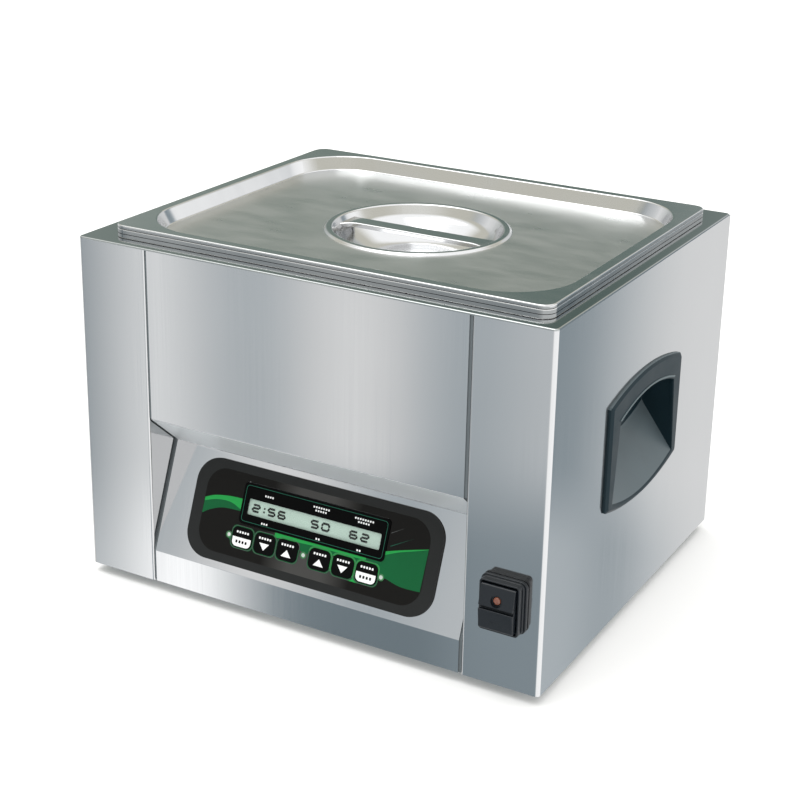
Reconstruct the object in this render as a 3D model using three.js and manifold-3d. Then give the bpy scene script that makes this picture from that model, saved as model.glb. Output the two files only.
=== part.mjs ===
// A table-top sous vide water bath: a stainless steel box with a drawn half-size gastronorm tank,
// a pressed lid with a sunk bar handle, a sloping control console and a rocker switch at the front,
// pocket grips in both sides and a mains inlet at the back.
// Millimetres. +X is the right-hand side, -Y is the front, +Z is up, and the feet stand on z = 0.

import * as THREE from 'three';
import { mergeVertices } from 'three/addons/utils/BufferGeometryUtils.js';
import Module from 'manifold-3d';

const wasm = await Module();
wasm.setup();

// ---------------------------------------------------------------- driving dimensions

const GAP = 0.3; // clearance between two pieces that touch
const SHEET = 1.2; // thickness of the casing's steel
const PAN_SHEET = 1; // thickness of the tank's and the lid's steel

// The lid and the tank's rim are a half-size gastronorm, 325 x 265.
const LID_LENGTH = 325;
const LID_DEPTH = 265;
const SIDE_MARGIN = 13.5; // deck left showing at each side of the lid
const FRONT_MARGIN = 19.5;
const BACK_MARGIN = 13.5;
const TANK_DEPTH = 152; // top of the rim to the inside floor
const UNDER_TANK_SPACE = 93.2; // bottom of the casing to the underside of the tank
const FOOT_HEIGHT = 7;

// Tank and lid sections
const RIM_PROUD = 3.2; // top of the tank's rim above the deck
const RIM_LIP = 1.9; // height of the rim's turned-down edge
const RIM_CORNER = 9; // corner radius of the rim and of the lid
const TANK_CORNER = 46; // corner radius of the tank's opening
const RIM_LEDGE = 6.5; // width of the rim on the tank's straight sides
const TANK_DRAFT = 9; // the walls lean in by this much from rim to floor
const TANK_FLOOR_RADIUS = 12;
const SHOULDER = 1.9; // horizontal run of the bend from the rim into the tank's wall
const FALSE_BOTTOM_RISE = 7; // over the tank's floor
const FALSE_BOTTOM_MARGIN = 6; // clear of the wall's foot
const FALSE_BOTTOM_HOLE = 7; // radius of each hole
const LID_LIP = 2.4; // height of the lid's turned-down edge
const TRAY_LEDGE = 6.5; // flat border of the lid around its sunk middle
const TRAY_SINK = 10;
const TRAY_WALL = 5.5; // horizontal run of the sunk middle's wall
const TRAY_CORNER = 47;
const DISH_RADIUS = 60; // round dish under the lid's handle
const DISH_SINK = 20;
const DISH_WALL_RUN = 6; // horizontal run of the dish's steep upper wall
const DISH_WALL_SHARE = 0.42; // of the dish's depth, taken by that wall
const DISH_BOWL = [[17, 0.78]]; // inward run and share of the depth on the bowl's curve
const DISH_FLOOR_RUN = 37; // horizontal run from the dish's edge to its flat floor
const DISH_BEAD = 5.5; // width of the raised bead around the dish
const DISH_BEAD_HEIGHT = 1.5;
const HANDLE_WIDTH = 14;
const HANDLE_THICKNESS = 2;
const HANDLE_DROP = 1.2; // top of the handle below the sunk middle
const HANDLE_CURL = 1.4; // depth of the handle's rolled edges below its underside
const OPENING_TUCK = 0.1; // the deck's opening starts this far inside the rim's ledge
const GASKET_INSET = 2.3; // from the rim's edge
const GASKET_WIDTH = 2.8;

// Casing
const COLUMN_WIDTH = 54.7; // each front column, folded from the side panel
const GROOVE = 2; // gap between a column and the front panel
const RETURN_BEHIND_FOLD = 3; // the column's inner edge folds back this far past the console's inner fold
const RETURN_TOP_DEPTH = 20; // and only this far above the console, clear of the tank
const FOLD_RADIUS = 3;
const SKIRT_HEIGHT = 24; // upright strip of the front panel below the console
const CONSOLE_HEIGHT = 98.5; // height of the whole recess above the skirt
const CONSOLE_SINK = 28.8; // depth of the recess at its inner fold
const CHAMFER_DROP = 24.9; // from the upper fold down to the inner fold
const VENT_LENGTH = 46;
const VENT_WIDTH = 3.5;
const VENT_PITCH = 9;
const VENT_ROWS = 6;

// Console
const OVERLAY_MARGIN = 22.8; // panel left showing at each side of the overlay
const OVERLAY_BOTTOM = 4.8; // from the lower fold, up the slope
const OVERLAY_TOP_MARGIN = 4.7;
const OVERLAY_CORNER = 18;
const OVERLAY_THICKNESS = 1;
const BEZEL_WIDTH = 114;
const BEZEL_HEIGHT = 28.4;
const BEZEL_CORNER = 3;
const BEZEL_THICKNESS = 1.5;
const BEZEL_SLOPE = 48.9; // centre of the bezel, up the slope
const WINDOW_WIDTH = 104;
const WINDOW_HEIGHT = 10.9;
const WINDOW_DROP = 1.9; // centre of the window below the bezel's centre
const MODULE_WIDTH = 106;
const MODULE_HEIGHT = 23;
const MODULE_DEPTH = 9;
const KEY_WIDTH = 16.5;
const KEY_HEIGHT = 14.2;
const KEY_CORNER = 4;
const KEY_PITCH = 18.1;
const KEY_GROUP_GAP = 25.4; // pitch across the lamp between the two groups of keys
const KEY_SLOPE = 25; // centre of the keys, up the slope
const KEY_ROW_SHIFT = -2.6; // the row sits a little left of the panel's middle
const KEY_PROUD = 0.6; // above the overlay
const KEY_TRAVEL = 0.5;
const KEY_STEM = 6; // length of the key's stem behind the panel's face
const KEY_CLEARANCE = 0.35;
const STEM = [10, 8]; // width and height of the key's stem
const LED_RADIUS = 1.5;
const LED_OFFSET = 10.9; // from the end keys' middle to the end lamps
const BOARD_DEPTH = 10; // face of the control board behind the panel's face

// Power switch
const SWITCH_INSET = 25.6; // its middle inward from the casing's side
const SWITCH_HEIGHT = 60; // its middle above the casing's bottom edge
const SWITCH_FLANGE = [31.6, 36, 3]; // width, height, how far it stands out
const SWITCH_COLLAR = [29.3, 34.9, 5.2];
const SWITCH_FRAME = [27.5, 34.6, 9.4];
const ROCKER_WIDTH = 23.5;
const ROCKER_HEIGHT = 30.3;
const ROCKER_CREST = 14.4; // how far the rocker's middle stands out
const ROCKER_ROOT = 2.4; // and where it ends inside its frame
const ROCKER_FACE_SLOPE = 9; // degrees, each face away from the middle
const ROCKER_THROW = 9; // degrees between on and off
const ROCKER_PIVOT = 7; // how far its axis stands out
const ROCKER_CLEARANCE = 0.5;
const ROCKER_END_CLEARANCE = 1;
const ROCKER_GROOVE = 2.2; // width of the groove between the two faces
const ROCKER_GROOVE_DEPTH = 2.6;
const LENS_RADIUS = 2.6;
const LENS_WELL_RADIUS = 3.9;
const LENS_HEIGHT = 5.6; // above the rocker's middle
const SWITCH_BODY_DEPTH = 22;

// Side grips
const GRIP_HEIGHT = 127.5; // middle of the grip above the casing's bottom edge
const GRIP_WIDTH = 122.4;
const GRIP_EDGE = 75; // height of its straight sides
const GRIP_ARCH = 8.2; // rise of the arched top and bottom edges
const GRIP_PROUD = 3;
const GRIP_BEVEL = 2;
const POCKET_TOP_WIDTH = 94;
const POCKET_BOTTOM_WIDTH = 106.8;
const POCKET_TOP = 22.5; // top corners of the opening above the grip's middle
const POCKET_BOTTOM = 34.5; // bottom corners below it
const POCKET_DEPTH = 22; // behind the casing's side
const POCKET_RISE = 34; // how far the scooped floor climbs over the full depth
const POCKET_UNDERCUT = 5; // the roof of the pocket above its lip
const POCKET_WALL = 2;
const POCKET_LIP = 4.5; // thickness of the lip that the fingers pull on

// Mains inlet
const INLET_OFFSET = 52; // its middle inward from the casing's side
const INLET_HEIGHT = 38; // above the casing's bottom edge
const INLET_FLANGE = [50, 34, 2.4];
const INLET_BODY = [31, 30, 27];
const SOCKET = [24.4, 16.4, 19];
const SOCKET_LIFT = 4.4;
const INLET_SCREW_SPACING = 40;
const DRAWER = [21.4, 6.4, 23];
const DRAWER_DROP = 9.6;
const DRAWER_PROUD = 1.2;
const DRAWER_CLEARANCE = 0.3;
const FUSE_LENGTH = 20;
const FUSE_RADIUS = 2.5;
const PIN = [2, 4, 12.5];

// Small hardware and what lies under the tank
const FOOT_RADIUS = 12;
const FOOT_INSET = 30;
const FOOT_PEG_RADIUS = 3;
const SCREW_HEAD_RADIUS = 3.6;
const SCREW_HEAD_HEIGHT = 1.6;
const SCREW_RADIUS = 1.7;
const SCREW_LENGTH = 8;
const HEATER_MARGIN = 12; // from the tank's flat floor
const HEATER_THICKNESS = 1.6;
const INSULATION_THICKNESS = 6.5;
const CUTOUT_RADIUS = 8;
const CUTOUT_HEIGHT = 11;
const PROBE_RADIUS = 3;
const PROBE_LENGTH = 42;
const STANDOFF = 5;
const BOARD_THICKNESS = 1.6;
const LEAD_RADIUS = 1.8;
const POWER_BOARD = { across: [-152, -52], along: [10, 100] };
const POWER_PARTS = [ // left, front, width, depth, height of each block on the power board
  [-145, 20, 26, 16, 22],
  [-110, 18, 18, 18, 30],
  [-84, 22, 10, 40, 12],
  [-142, 60, 36, 22, 15],
  [-96, 74, 30, 14, 19],
];
const TRANSFORMER_CORE = [52, 30, 42];
const TRANSFORMER_PLACE = [-8, 70];
const SINK_LENGTH = 70;
const SINK_HEIGHT = 22;
const SINK_FINS = 9;
const SINK_PITCH = 6;
const SINK_FIN = 2; // thickness
const SINK_BASE = 5;
const SINK_PLACE = [62, -20];
const RELAY = [56, 44, 20];

// ---------------------------------------------------------------- what follows from them

const CASE_WIDTH = LID_LENGTH + 2 * SIDE_MARGIN;
const CASE_DEPTH = LID_DEPTH + FRONT_MARGIN + BACK_MARGIN;
const CASE_HEIGHT = UNDER_TANK_SPACE + PAN_SHEET + TANK_DEPTH - RIM_PROUD;
const SIDE = CASE_WIDTH / 2;
const FRONT = -CASE_DEPTH / 2;
const BACK = CASE_DEPTH / 2;
const BOTTOM = FOOT_HEIGHT;
const TOP = BOTTOM + CASE_HEIGHT;
const WALL_TOP = TOP - SHEET - GAP; // upper end of the upright panels
const FLOOR_TOP = BOTTOM + SHEET;
const TANK_Y = (FRONT_MARGIN - BACK_MARGIN) / 2; // the tank sits behind the casing's middle
const RIM_TOP = TOP + RIM_PROUD;
const TANK_FLOOR = RIM_TOP - TANK_DEPTH;
const TANK_UNDERSIDE = TANK_FLOOR - PAN_SHEET;
const LID_TOP = RIM_TOP + GAP + LID_LIP;
const TRAY_LEVEL = LID_TOP - TRAY_SINK;
const COLUMN_EDGE = SIDE - COLUMN_WIDTH;
const PANEL_HALF = COLUMN_EDGE - GROOVE;
const SKIRT_TOP = BOTTOM + SKIRT_HEIGHT;
const RECESS_TOP = SKIRT_TOP + CONSOLE_HEIGHT;
const INNER_FOLD = RECESS_TOP - CHAMFER_DROP;
const RETURN_DEPTH = CONSOLE_SINK + RETURN_BEHIND_FOLD;
const SLOPE_RISE = INNER_FOLD - SKIRT_TOP;
const SLOPE_LENGTH = Math.hypot(CONSOLE_SINK, SLOPE_RISE);
const SLOPE_ANGLE = Math.atan2(SLOPE_RISE, CONSOLE_SINK);
const SWITCH_X = SIDE - SWITCH_INSET;
const WALL_TURN = RIM_LEDGE + SHOULDER; // where the tank's straight wall starts, inward from the rim's edge
const INLET_PROUD = INLET_FLANGE[2] + GAP + SCREW_HEAD_HEIGHT;

const degrees = THREE.MathUtils.degToRad;

// ---------------------------------------------------------------- materials

function material(color, roughness, metalness) {
  return new THREE.MeshStandardMaterial({ color, roughness, metalness });
}

const STEEL = material(0xb4babd, 0.3, 1);
const POLISHED = material(0xa3a9a5, 0.16, 1);
const GRIP_PLASTIC = material(0x2b3a42, 0.5, 0);
const BLACK_PLASTIC = material(0x1c1f23, 0.4, 0);
const OVERLAY_FILM = material(0x2e2e2d, 0.35, 0);
const CLEAR = material(0xd5e2db, 0.08, 0);
const LAMP_WHITE = material(0xf2f4f2, 0.25, 0);
const LAMP_AMBER = material(0xb06a4c, 0.3, 0);
const RUBBER = material(0x17181a, 0.85, 0);
const SILICONE = material(0xb5532f, 0.8, 0);
const BOARD_GREEN = material(0x1d5b39, 0.55, 0);
const ALUMINIUM = material(0xb9bcbe, 0.4, 1);
const CORE_STEEL = material(0x6f7274, 0.5, 1);
const BRASS = material(0xc9a24b, 0.3, 1);
const FELT = material(0xd8d4c8, 0.95, 0);

// ---------------------------------------------------------------- shapes and solids

function rectangle(width, height, radius, x = 0, y = 0) {
  const shape = new THREE.Shape();
  const [left, right, low, high] = [x - width / 2, x + width / 2, y - height / 2, y + height / 2];
  shape.moveTo(left + radius, low);
  shape.lineTo(right - radius, low);
  shape.absarc(right - radius, low + radius, radius, -Math.PI / 2, 0);
  shape.lineTo(right, high - radius);
  shape.absarc(right - radius, high - radius, radius, 0, Math.PI / 2);
  shape.lineTo(left + radius, high);
  shape.absarc(left + radius, high - radius, radius, Math.PI / 2, Math.PI);
  shape.lineTo(left, low + radius);
  shape.absarc(left + radius, low + radius, radius, Math.PI, 1.5 * Math.PI);
  return shape;
}

const polygon = (points) => new THREE.Shape(points.map(([x, y]) => new THREE.Vector2(x, y)));

function disc(radius, x, y, sides) {
  return polygon(Array.from({ length: sides }, (_, i) => {
    const turn = (2 * Math.PI * (i + 0.5)) / sides;
    return [x + radius * Math.cos(turn), y + radius * Math.sin(turn)];
  }));
}

function pierced(shape, ...holes) {
  shape.holes.push(...holes);
  return shape;
}

// Where each drawing plane's axes and its extrusion point. A shape drawn for 'y' is seen from the
// front, and its extrusion runs towards the front.
const PLANES = {
  x: [new THREE.Vector3(0, 1, 0), new THREE.Vector3(0, 0, 1), new THREE.Vector3(1, 0, 0)],
  y: [new THREE.Vector3(1, 0, 0), new THREE.Vector3(0, 0, 1), new THREE.Vector3(0, -1, 0)],
  z: [new THREE.Vector3(1, 0, 0), new THREE.Vector3(0, 1, 0), new THREE.Vector3(0, 0, 1)],
};

// The solid that a shape sweeps along an axis between two places on that axis.
function slab(shape, low, high, axis = 'z', curveSegments = 6) {
  const geometry = new THREE.ExtrudeGeometry(shape, { depth: high - low, bevelEnabled: false, curveSegments });
  geometry.translate(0, 0, axis === 'y' ? -high : low);
  return geometry.applyMatrix4(new THREE.Matrix4().makeBasis(...PLANES[axis]));
}

function box([x0, x1], [y0, y1], [z0, z1]) {
  const geometry = new THREE.BoxGeometry(x1 - x0, y1 - y0, z1 - z0);
  return geometry.translate((x0 + x1) / 2, (y0 + y1) / 2, (z0 + z1) / 2);
}

function rod(radius, low, high, axis, [a, b], segments = 20) {
  return slab(disc(radius, a, b, segments), low, high, axis);
}

function solidOf(geometry) {
  const bare = geometry.clone();
  bare.deleteAttribute('normal');
  bare.deleteAttribute('uv');
  const merged = mergeVertices(bare, 1e-4);
  const vertProperties = Float32Array.from(merged.attributes.position.array);
  const triVerts = Uint32Array.from(merged.index.array);
  return new wasm.Manifold(new wasm.Mesh({ numProp: 3, vertProperties, triVerts }));
}

function geometryOf(solid) {
  const mesh = solid.getMesh();
  const geometry = new THREE.BufferGeometry();
  geometry.setAttribute('position', new THREE.BufferAttribute(mesh.vertProperties, 3));
  geometry.setIndex(new THREE.BufferAttribute(mesh.triVerts, 1));
  return geometry;
}

function cut(body, ...tools) {
  return geometryOf(tools.reduce((left, tool) => left.subtract(solidOf(tool)), solidOf(body)));
}

const join = (...pieces) => geometryOf(pieces.map(solidOf).reduce((sum, piece) => sum.add(piece)));

function mirroredX(geometry) {
  const merged = geometryOf(solidOf(geometry)).scale(-1, 1, 1);
  const index = merged.index.array;
  for (let i = 0; i < index.length; i += 3) [index[i], index[i + 1]] = [index[i + 1], index[i]];
  return merged;
}

const corner = (positions, i) => new THREE.Vector3().fromArray(positions, 3 * i);

// Six times the volume that the faces enclose, negative where they point inward.
function signedVolume(positions, index) {
  let sum = 0;
  for (let i = 0; i < index.length; i += 3) {
    const [a, b, c] = [0, 1, 2].map((k) => corner(positions, index[i + k]));
    sum += a.dot(b.cross(c));
  }
  return sum;
}

// A closed skin through rings of equal point count, which may run either way round. Each end is
// closed by a fan about its middle.
function loft(rings) {
  const count = rings[0].length;
  const positions = rings.flat().flatMap((point) => point.toArray());
  const index = [];
  for (let r = 0; r + 1 < rings.length; r += 1) {
    for (let i = 0; i < count; i += 1) {
      const [a, b] = [r * count + i, r * count + ((i + 1) % count)];
      index.push(a, b, b + count, a, b + count, a + count);
    }
  }
  [0, rings.length - 1].forEach((r, end) => {
    const middle = rings[r].reduce((sum, point) => sum.add(point), new THREE.Vector3()).divideScalar(count);
    positions.push(...middle.toArray());
    for (let i = 0; i < count; i += 1) {
      const edge = [r * count + i, r * count + ((i + 1) % count)];
      index.push(positions.length / 3 - 1, edge[1 - end], edge[end]);
    }
  });
  if (signedVolume(positions, index) < 0) index.reverse();
  const geometry = new THREE.BufferGeometry();
  geometry.setAttribute('position', new THREE.Float32BufferAttribute(positions, 3));
  geometry.setIndex(index);
  return geometry;
}

// ---------------------------------------------------------------- pressed sheet around the tank's middle

// The outline's distance from its middle in one direction.
function reach(bearing, halfLength, halfDepth, radius) {
  const [c, s] = [Math.abs(Math.cos(bearing)), Math.abs(Math.sin(bearing))];
  const straight = Math.min(halfLength / c, halfDepth / s);
  const [x, y] = [halfLength - radius, halfDepth - radius];
  if (straight * c <= x || straight * s <= y) return straight;
  const along = c * x + s * y;
  return along + Math.sqrt(radius * radius - (x * x + y * y - along * along));
}

// Directions that catch the corner arcs of both the rim and the tank's opening.
function bearings() {
  const quarter = [0, 0.2, 0.45, 1.1, 1.35, Math.PI / 2];
  [[0, RIM_CORNER, 3], [RIM_LEDGE, TANK_CORNER, 4]].forEach(([inset, radius, steps]) => {
    for (let i = 0; i <= steps; i += 1) {
      const turn = (i * Math.PI) / (2 * steps);
      const x = LID_LENGTH / 2 - inset - radius + radius * Math.cos(turn);
      const y = LID_DEPTH / 2 - inset - radius + radius * Math.sin(turn);
      quarter.push(Math.atan2(y, x));
    }
  });
  quarter.sort((a, b) => a - b);
  const kept = quarter.filter((turn, i) => i === 0 || turn - quarter[i - 1] > 0.008);
  const half = [...kept, ...kept.slice(0, -1).reverse().map((turn) => Math.PI - turn)];
  return [...half, ...half.slice(1, -1).map((turn) => Math.PI + turn)];
}
const BEARINGS = bearings();

// One ring of a pressed sheet: a circle of radius `out`, or the rim's outline moved in by `inset`.
function ring({ out, inset, corner, z }) {
  return BEARINGS.map((bearing) => {
    const distance = out ?? reach(bearing, LID_LENGTH / 2 - inset, LID_DEPTH / 2 - inset, corner);
    return new THREE.Vector3(distance * Math.cos(bearing), distance * Math.sin(bearing), z);
  });
}

// The upper surface runs from the middle outward. The lower one follows it a sheet's thickness away.
function pressedSheet(profile, thickness) {
  const outward = (point) => point.out ?? LID_DEPTH / 2 - point.inset;
  const lower = profile.map((point, i) => {
    const before = profile[Math.max(i - 1, 0)];
    const after = profile[Math.min(i + 1, profile.length - 1)];
    const into = new THREE.Vector2(outward(point) - outward(before), point.z - before.z);
    const onward = new THREE.Vector2(outward(after) - outward(point), after.z - point.z);
    if (i === 0) into.copy(onward);
    if (i === profile.length - 1) onward.copy(into);
    const along = into.normalize().add(onward.normalize());
    const stretch = thickness / (along.length() / 2);
    along.normalize();
    const [shift, drop] = [along.y * stretch, along.x * stretch];
    const moved = { ...point, z: point.z - drop };
    if (point.out === undefined) {
      moved.inset = point.inset - shift;
      moved.corner = Math.max(point.corner + shift, 1);
    } else moved.out = point.out + shift;
    return moved;
  });
  return loft([...profile.map(ring), ...lower.reverse().map(ring)]);
}

// ---------------------------------------------------------------- the object

const bath = new THREE.Group();
const tankGroup = new THREE.Group();
tankGroup.position.y = TANK_Y;
const consoleGroup = new THREE.Group();
consoleGroup.position.set(0, FRONT, SKIRT_TOP);
consoleGroup.rotation.x = SLOPE_ANGLE;
const switchGroup = new THREE.Group();
switchGroup.position.set(SWITCH_X, FRONT, BOTTOM + SWITCH_HEIGHT);
const inletGroup = new THREE.Group();
inletGroup.position.set(SIDE - INLET_OFFSET, BACK, BOTTOM + INLET_HEIGHT);
bath.add(tankGroup, consoleGroup, switchGroup, inletGroup);

function place(name, geometry, finish, parent = bath) {
  const mesh = new THREE.Mesh(geometry, finish);
  mesh.name = name;
  parent.add(mesh);
  return mesh;
}

// ---- casing

const gripShape = (grow, topWidth, bottomWidth, top, bottom) => {
  const shape = new THREE.Shape();
  const [upper, lower] = [topWidth / 2 + grow, bottomWidth / 2 + grow];
  const [high, low] = [top + grow, bottom - grow];
  shape.moveTo(-lower, low);
  shape.quadraticCurveTo(0, low - 2 * GRIP_ARCH, lower, low);
  shape.lineTo(upper, high);
  shape.quadraticCurveTo(0, high + 2 * GRIP_ARCH, -upper, high);
  shape.closePath();
  return shape;
};

// Holes of the console, in its own sloping frame: x across, y up the slope, z out of the panel.
const OVERLAY_WIDTH = 2 * (PANEL_HALF - OVERLAY_MARGIN);
const OVERLAY_HEIGHT = SLOPE_LENGTH - OVERLAY_BOTTOM - OVERLAY_TOP_MARGIN;
const OVERLAY_SLOPE = OVERLAY_BOTTOM + OVERLAY_HEIGHT / 2;
const WINDOW_SLOPE = BEZEL_SLOPE - WINDOW_DROP;
const INNER_KEY = KEY_GROUP_GAP / 2;
const KEYS = ['timer_start_key', 'time_down_key', 'time_up_key', 'temperature_up_key', 'temperature_down_key',
  'heat_start_key'].map((name, i) => {
  const fromMiddle = i < 3 ? -INNER_KEY - (2 - i) * KEY_PITCH : INNER_KEY + (i - 3) * KEY_PITCH;
  return { name, x: KEY_ROW_SHIFT + fromMiddle };
});
const LEDS = [
  { name: 'timer_lamp', x: KEYS[0].x - LED_OFFSET },
  { name: 'line_lamp', x: KEY_ROW_SHIFT },
  { name: 'heat_lamp', x: KEYS[5].x + LED_OFFSET },
];

function addCasing() {
  const inner = SIDE - SHEET;
  const plan = new THREE.Shape();
  plan.moveTo(SIDE, BACK);
  plan.lineTo(inner, BACK);
  plan.lineTo(inner, FRONT + FOLD_RADIUS);
  plan.absarc(SIDE - FOLD_RADIUS, FRONT + FOLD_RADIUS, FOLD_RADIUS - SHEET, 0, -Math.PI / 2, true);
  plan.lineTo(COLUMN_EDGE + SHEET, FRONT + SHEET);
  plan.lineTo(COLUMN_EDGE + SHEET, FRONT + RETURN_DEPTH);
  plan.lineTo(COLUMN_EDGE, FRONT + RETURN_DEPTH);
  plan.lineTo(COLUMN_EDGE, FRONT);
  plan.lineTo(SIDE - FOLD_RADIUS, FRONT);
  plan.absarc(SIDE - FOLD_RADIUS, FRONT + FOLD_RADIUS, FOLD_RADIUS, -Math.PI / 2, 0);
  plan.lineTo(SIDE, BACK);
  const returnRelief = box([COLUMN_EDGE - 1, COLUMN_EDGE + SHEET + 1],
    [FRONT + RETURN_TOP_DEPTH, FRONT + RETURN_DEPTH + 1], [RECESS_TOP + RETURN_BEHIND_FOLD, WALL_TOP + 1]);
  const sideSheet = cut(slab(plan, BOTTOM, WALL_TOP), returnRelief);
  const gripMiddle = BOTTOM + GRIP_HEIGHT;
  const opening = gripShape(POCKET_WALL + POCKET_UNDERCUT + 2 * GAP, POCKET_TOP_WIDTH, POCKET_BOTTOM_WIDTH,
    POCKET_TOP, -POCKET_BOTTOM + POCKET_UNDERCUT);
  const gripHole = slab(opening, inner - 1, SIDE + 1, 'x').translate(0, 0, gripMiddle);
  const [switchWidth, switchHeight] = [SWITCH_FRAME[0] - 1.6, SWITCH_FRAME[1] - 1.6];
  const switchOutline = rectangle(switchWidth, switchHeight, 1, SWITCH_X, BOTTOM + SWITCH_HEIGHT);
  const switchHole = slab(switchOutline, FRONT - 1, FRONT + SHEET + 1, 'y');
  place('right_side_panel', cut(sideSheet, gripHole, switchHole), STEEL);
  place('left_side_panel', mirroredX(cut(sideSheet, gripHole)), STEEL);

  const across = [-(inner - GAP), inner - GAP];
  const floorOutline = rectangle(2 * (inner - GAP), CASE_DEPTH - 2 * (SHEET + GAP), FOLD_RADIUS);
  const floor = slab(floorOutline, BOTTOM, FLOOR_TOP);
  const notches = [-1, 1].map((hand) => {
    const middle = hand * (COLUMN_EDGE + SHEET / 2);
    return box([middle - SHEET / 2 - GAP, middle + SHEET / 2 + GAP], [FRONT, FRONT + RETURN_DEPTH + GAP],
      [BOTTOM - 1, FLOOR_TOP + 1]);
  });
  const pegHole = (spot) => rod(FOOT_PEG_RADIUS + GAP, BOTTOM - 1, FLOOR_TOP + 1, 'z', spot, 10);
  const pegHoles = footPlaces().map(pegHole);
  const floorVents = Array.from({ length: VENT_ROWS }, (_, i) => {
    const y = (i - (VENT_ROWS - 1) / 2) * VENT_PITCH;
    return slab(rectangle(VENT_LENGTH, VENT_WIDTH, VENT_WIDTH / 2.5, 0, y), BOTTOM - 1, FLOOR_TOP + 1, 'z', 1);
  });
  place('base_plate', cut(floor, ...notches, ...pegHoles, ...floorVents), STEEL);

  place('front_panel', frontPanel(), STEEL);

  const backSheet = box(across, [BACK - SHEET, BACK], [BOTTOM, WALL_TOP]);
  const inletX = SIDE - INLET_OFFSET;
  const inletZ = BOTTOM + INLET_HEIGHT;
  const inletHole = slab(rectangle(INLET_BODY[0] + 1, INLET_BODY[1] + 1, 0.6, inletX, inletZ), BACK - SHEET - 1,
    BACK + 1, 'y');
  const screwHoles = [
    ...backScrewPlaces(),
    ...[-1, 1].map((hand) => [inletX + (hand * INLET_SCREW_SPACING) / 2, inletZ]),
  ].map((spot) => rod(SCREW_RADIUS + GAP, BACK - SHEET - 1, BACK + 1, 'y', spot, 8));
  const backVents = [-1, 1].flatMap((hand) => Array.from({ length: VENT_ROWS }, (_, i) => {
    const spot = [hand * 70 - 20, BOTTOM + 66 + i * VENT_PITCH];
    return slab(rectangle(VENT_LENGTH, VENT_WIDTH, VENT_WIDTH / 2.5, ...spot), BACK - SHEET - 1, BACK + 1, 'y', 1);
  }));
  place('back_panel', cut(backSheet, inletHole, ...screwHoles, ...backVents), STEEL);

  const openingInset = RIM_LEDGE + OPENING_TUCK;
  const deck = pierced(rectangle(CASE_WIDTH, CASE_DEPTH, FOLD_RADIUS), rectangle(LID_LENGTH - 2 * openingInset,
    LID_DEPTH - 2 * openingInset, TANK_CORNER, 0, TANK_Y));
  place('top_deck', slab(deck, TOP - SHEET, TOP, 'z', 5), STEEL);
}

// One sheet: upright face, chamfer in to the inner fold, slope out again, then the skirt.
function frontPanel() {
  const outer = [[FRONT, WALL_TOP], [FRONT, RECESS_TOP], [FRONT + CONSOLE_SINK, INNER_FOLD], [FRONT, SKIRT_TOP],
    [FRONT, BOTTOM]];
  const turn = (i) => {
    const into = new THREE.Vector2(outer[i][0] - outer[i - 1][0], outer[i][1] - outer[i - 1][1]).normalize();
    const onward = new THREE.Vector2(outer[i + 1][0] - outer[i][0], outer[i + 1][1] - outer[i][1]).normalize();
    const along = into.add(onward);
    const stretch = SHEET / (along.length() / 2);
    along.normalize();
    return [outer[i][0] - along.y * stretch, outer[i][1] + along.x * stretch];
  };
  const inner = [[FRONT + SHEET, WALL_TOP], turn(1), turn(2), turn(3), [FRONT + SHEET, BOTTOM]];
  const sheet = slab(polygon([...outer, ...inner.reverse()]), -PANEL_HALF, PANEL_HALF, 'x');
  const through = [-SHEET - 2, 2];
  const holes = [
    slab(rectangle(MODULE_WIDTH + 2, MODULE_HEIGHT + 2, 1, 0, BEZEL_SLOPE), ...through, 'z', 2),
    ...KEYS.map(({ x }) => slab(rectangle(STEM[0] + 1, STEM[1] + 1, 1, x, KEY_SLOPE), ...through, 'z', 2)),
    ...LEDS.map(({ x }) => rod(LED_RADIUS + KEY_CLEARANCE, ...through, 'z', [x, KEY_SLOPE], 10)),
  ];
  consoleGroup.updateMatrix();
  return cut(sheet, ...holes.map((hole) => hole.applyMatrix4(consoleGroup.matrix)));
}

const footPlaces = () => [-1, 1].flatMap((hand) => [-1, 1].map((end) => [hand * (SIDE - FOOT_INSET),
  end * (CASE_DEPTH / 2 - FOOT_INSET)]));

const backScrewPlaces = () => [-1, 1].flatMap((hand) => [BOTTOM + 14, WALL_TOP - 14].map((z) => [
  hand * (SIDE - SHEET - 14), z]));

function addFeet() {
  const outline = [[0, 0], [FOOT_RADIUS - 2, 0], [FOOT_RADIUS, FOOT_HEIGHT - 2], [FOOT_RADIUS, FOOT_HEIGHT - GAP],
    [FOOT_PEG_RADIUS, FOOT_HEIGHT - GAP], [FOOT_PEG_RADIUS - 0.5, FLOOR_TOP + 3], [0, FLOOR_TOP + 3]];
  const points = outline.map(([radius, z]) => new THREE.Vector2(radius, z));
  const names = ['front_left_foot', 'back_left_foot', 'front_right_foot', 'back_right_foot'];
  footPlaces().forEach(([x, y], i) => {
    const foot = new THREE.LatheGeometry(points, 12).rotateX(Math.PI / 2);
    place(names[i], foot, RUBBER).position.set(x, y, 0);
  });
}

function screw() {
  const head = rod(SCREW_HEAD_RADIUS, -SCREW_HEAD_HEIGHT - GAP, -GAP, 'y', [0, 0], 16);
  const shank = rod(SCREW_RADIUS, -GAP - 0.1, SCREW_LENGTH, 'y', [0, 0], 10);
  const slot = box([-SCREW_HEAD_RADIUS, SCREW_HEAD_RADIUS], [-SCREW_HEAD_HEIGHT - 1, -SCREW_HEAD_HEIGHT + 0.5],
    [-0.5, 0.5]);
  return cut(join(head, shank), slot).rotateZ(Math.PI);
}

function addBackScrews() {
  backScrewPlaces().forEach(([x, z], i) => {
    place(`back_screw_${i + 1}`, screw(), STEEL).position.set(x, BACK, z);
  });
}

// ---- tank and lid

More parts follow.
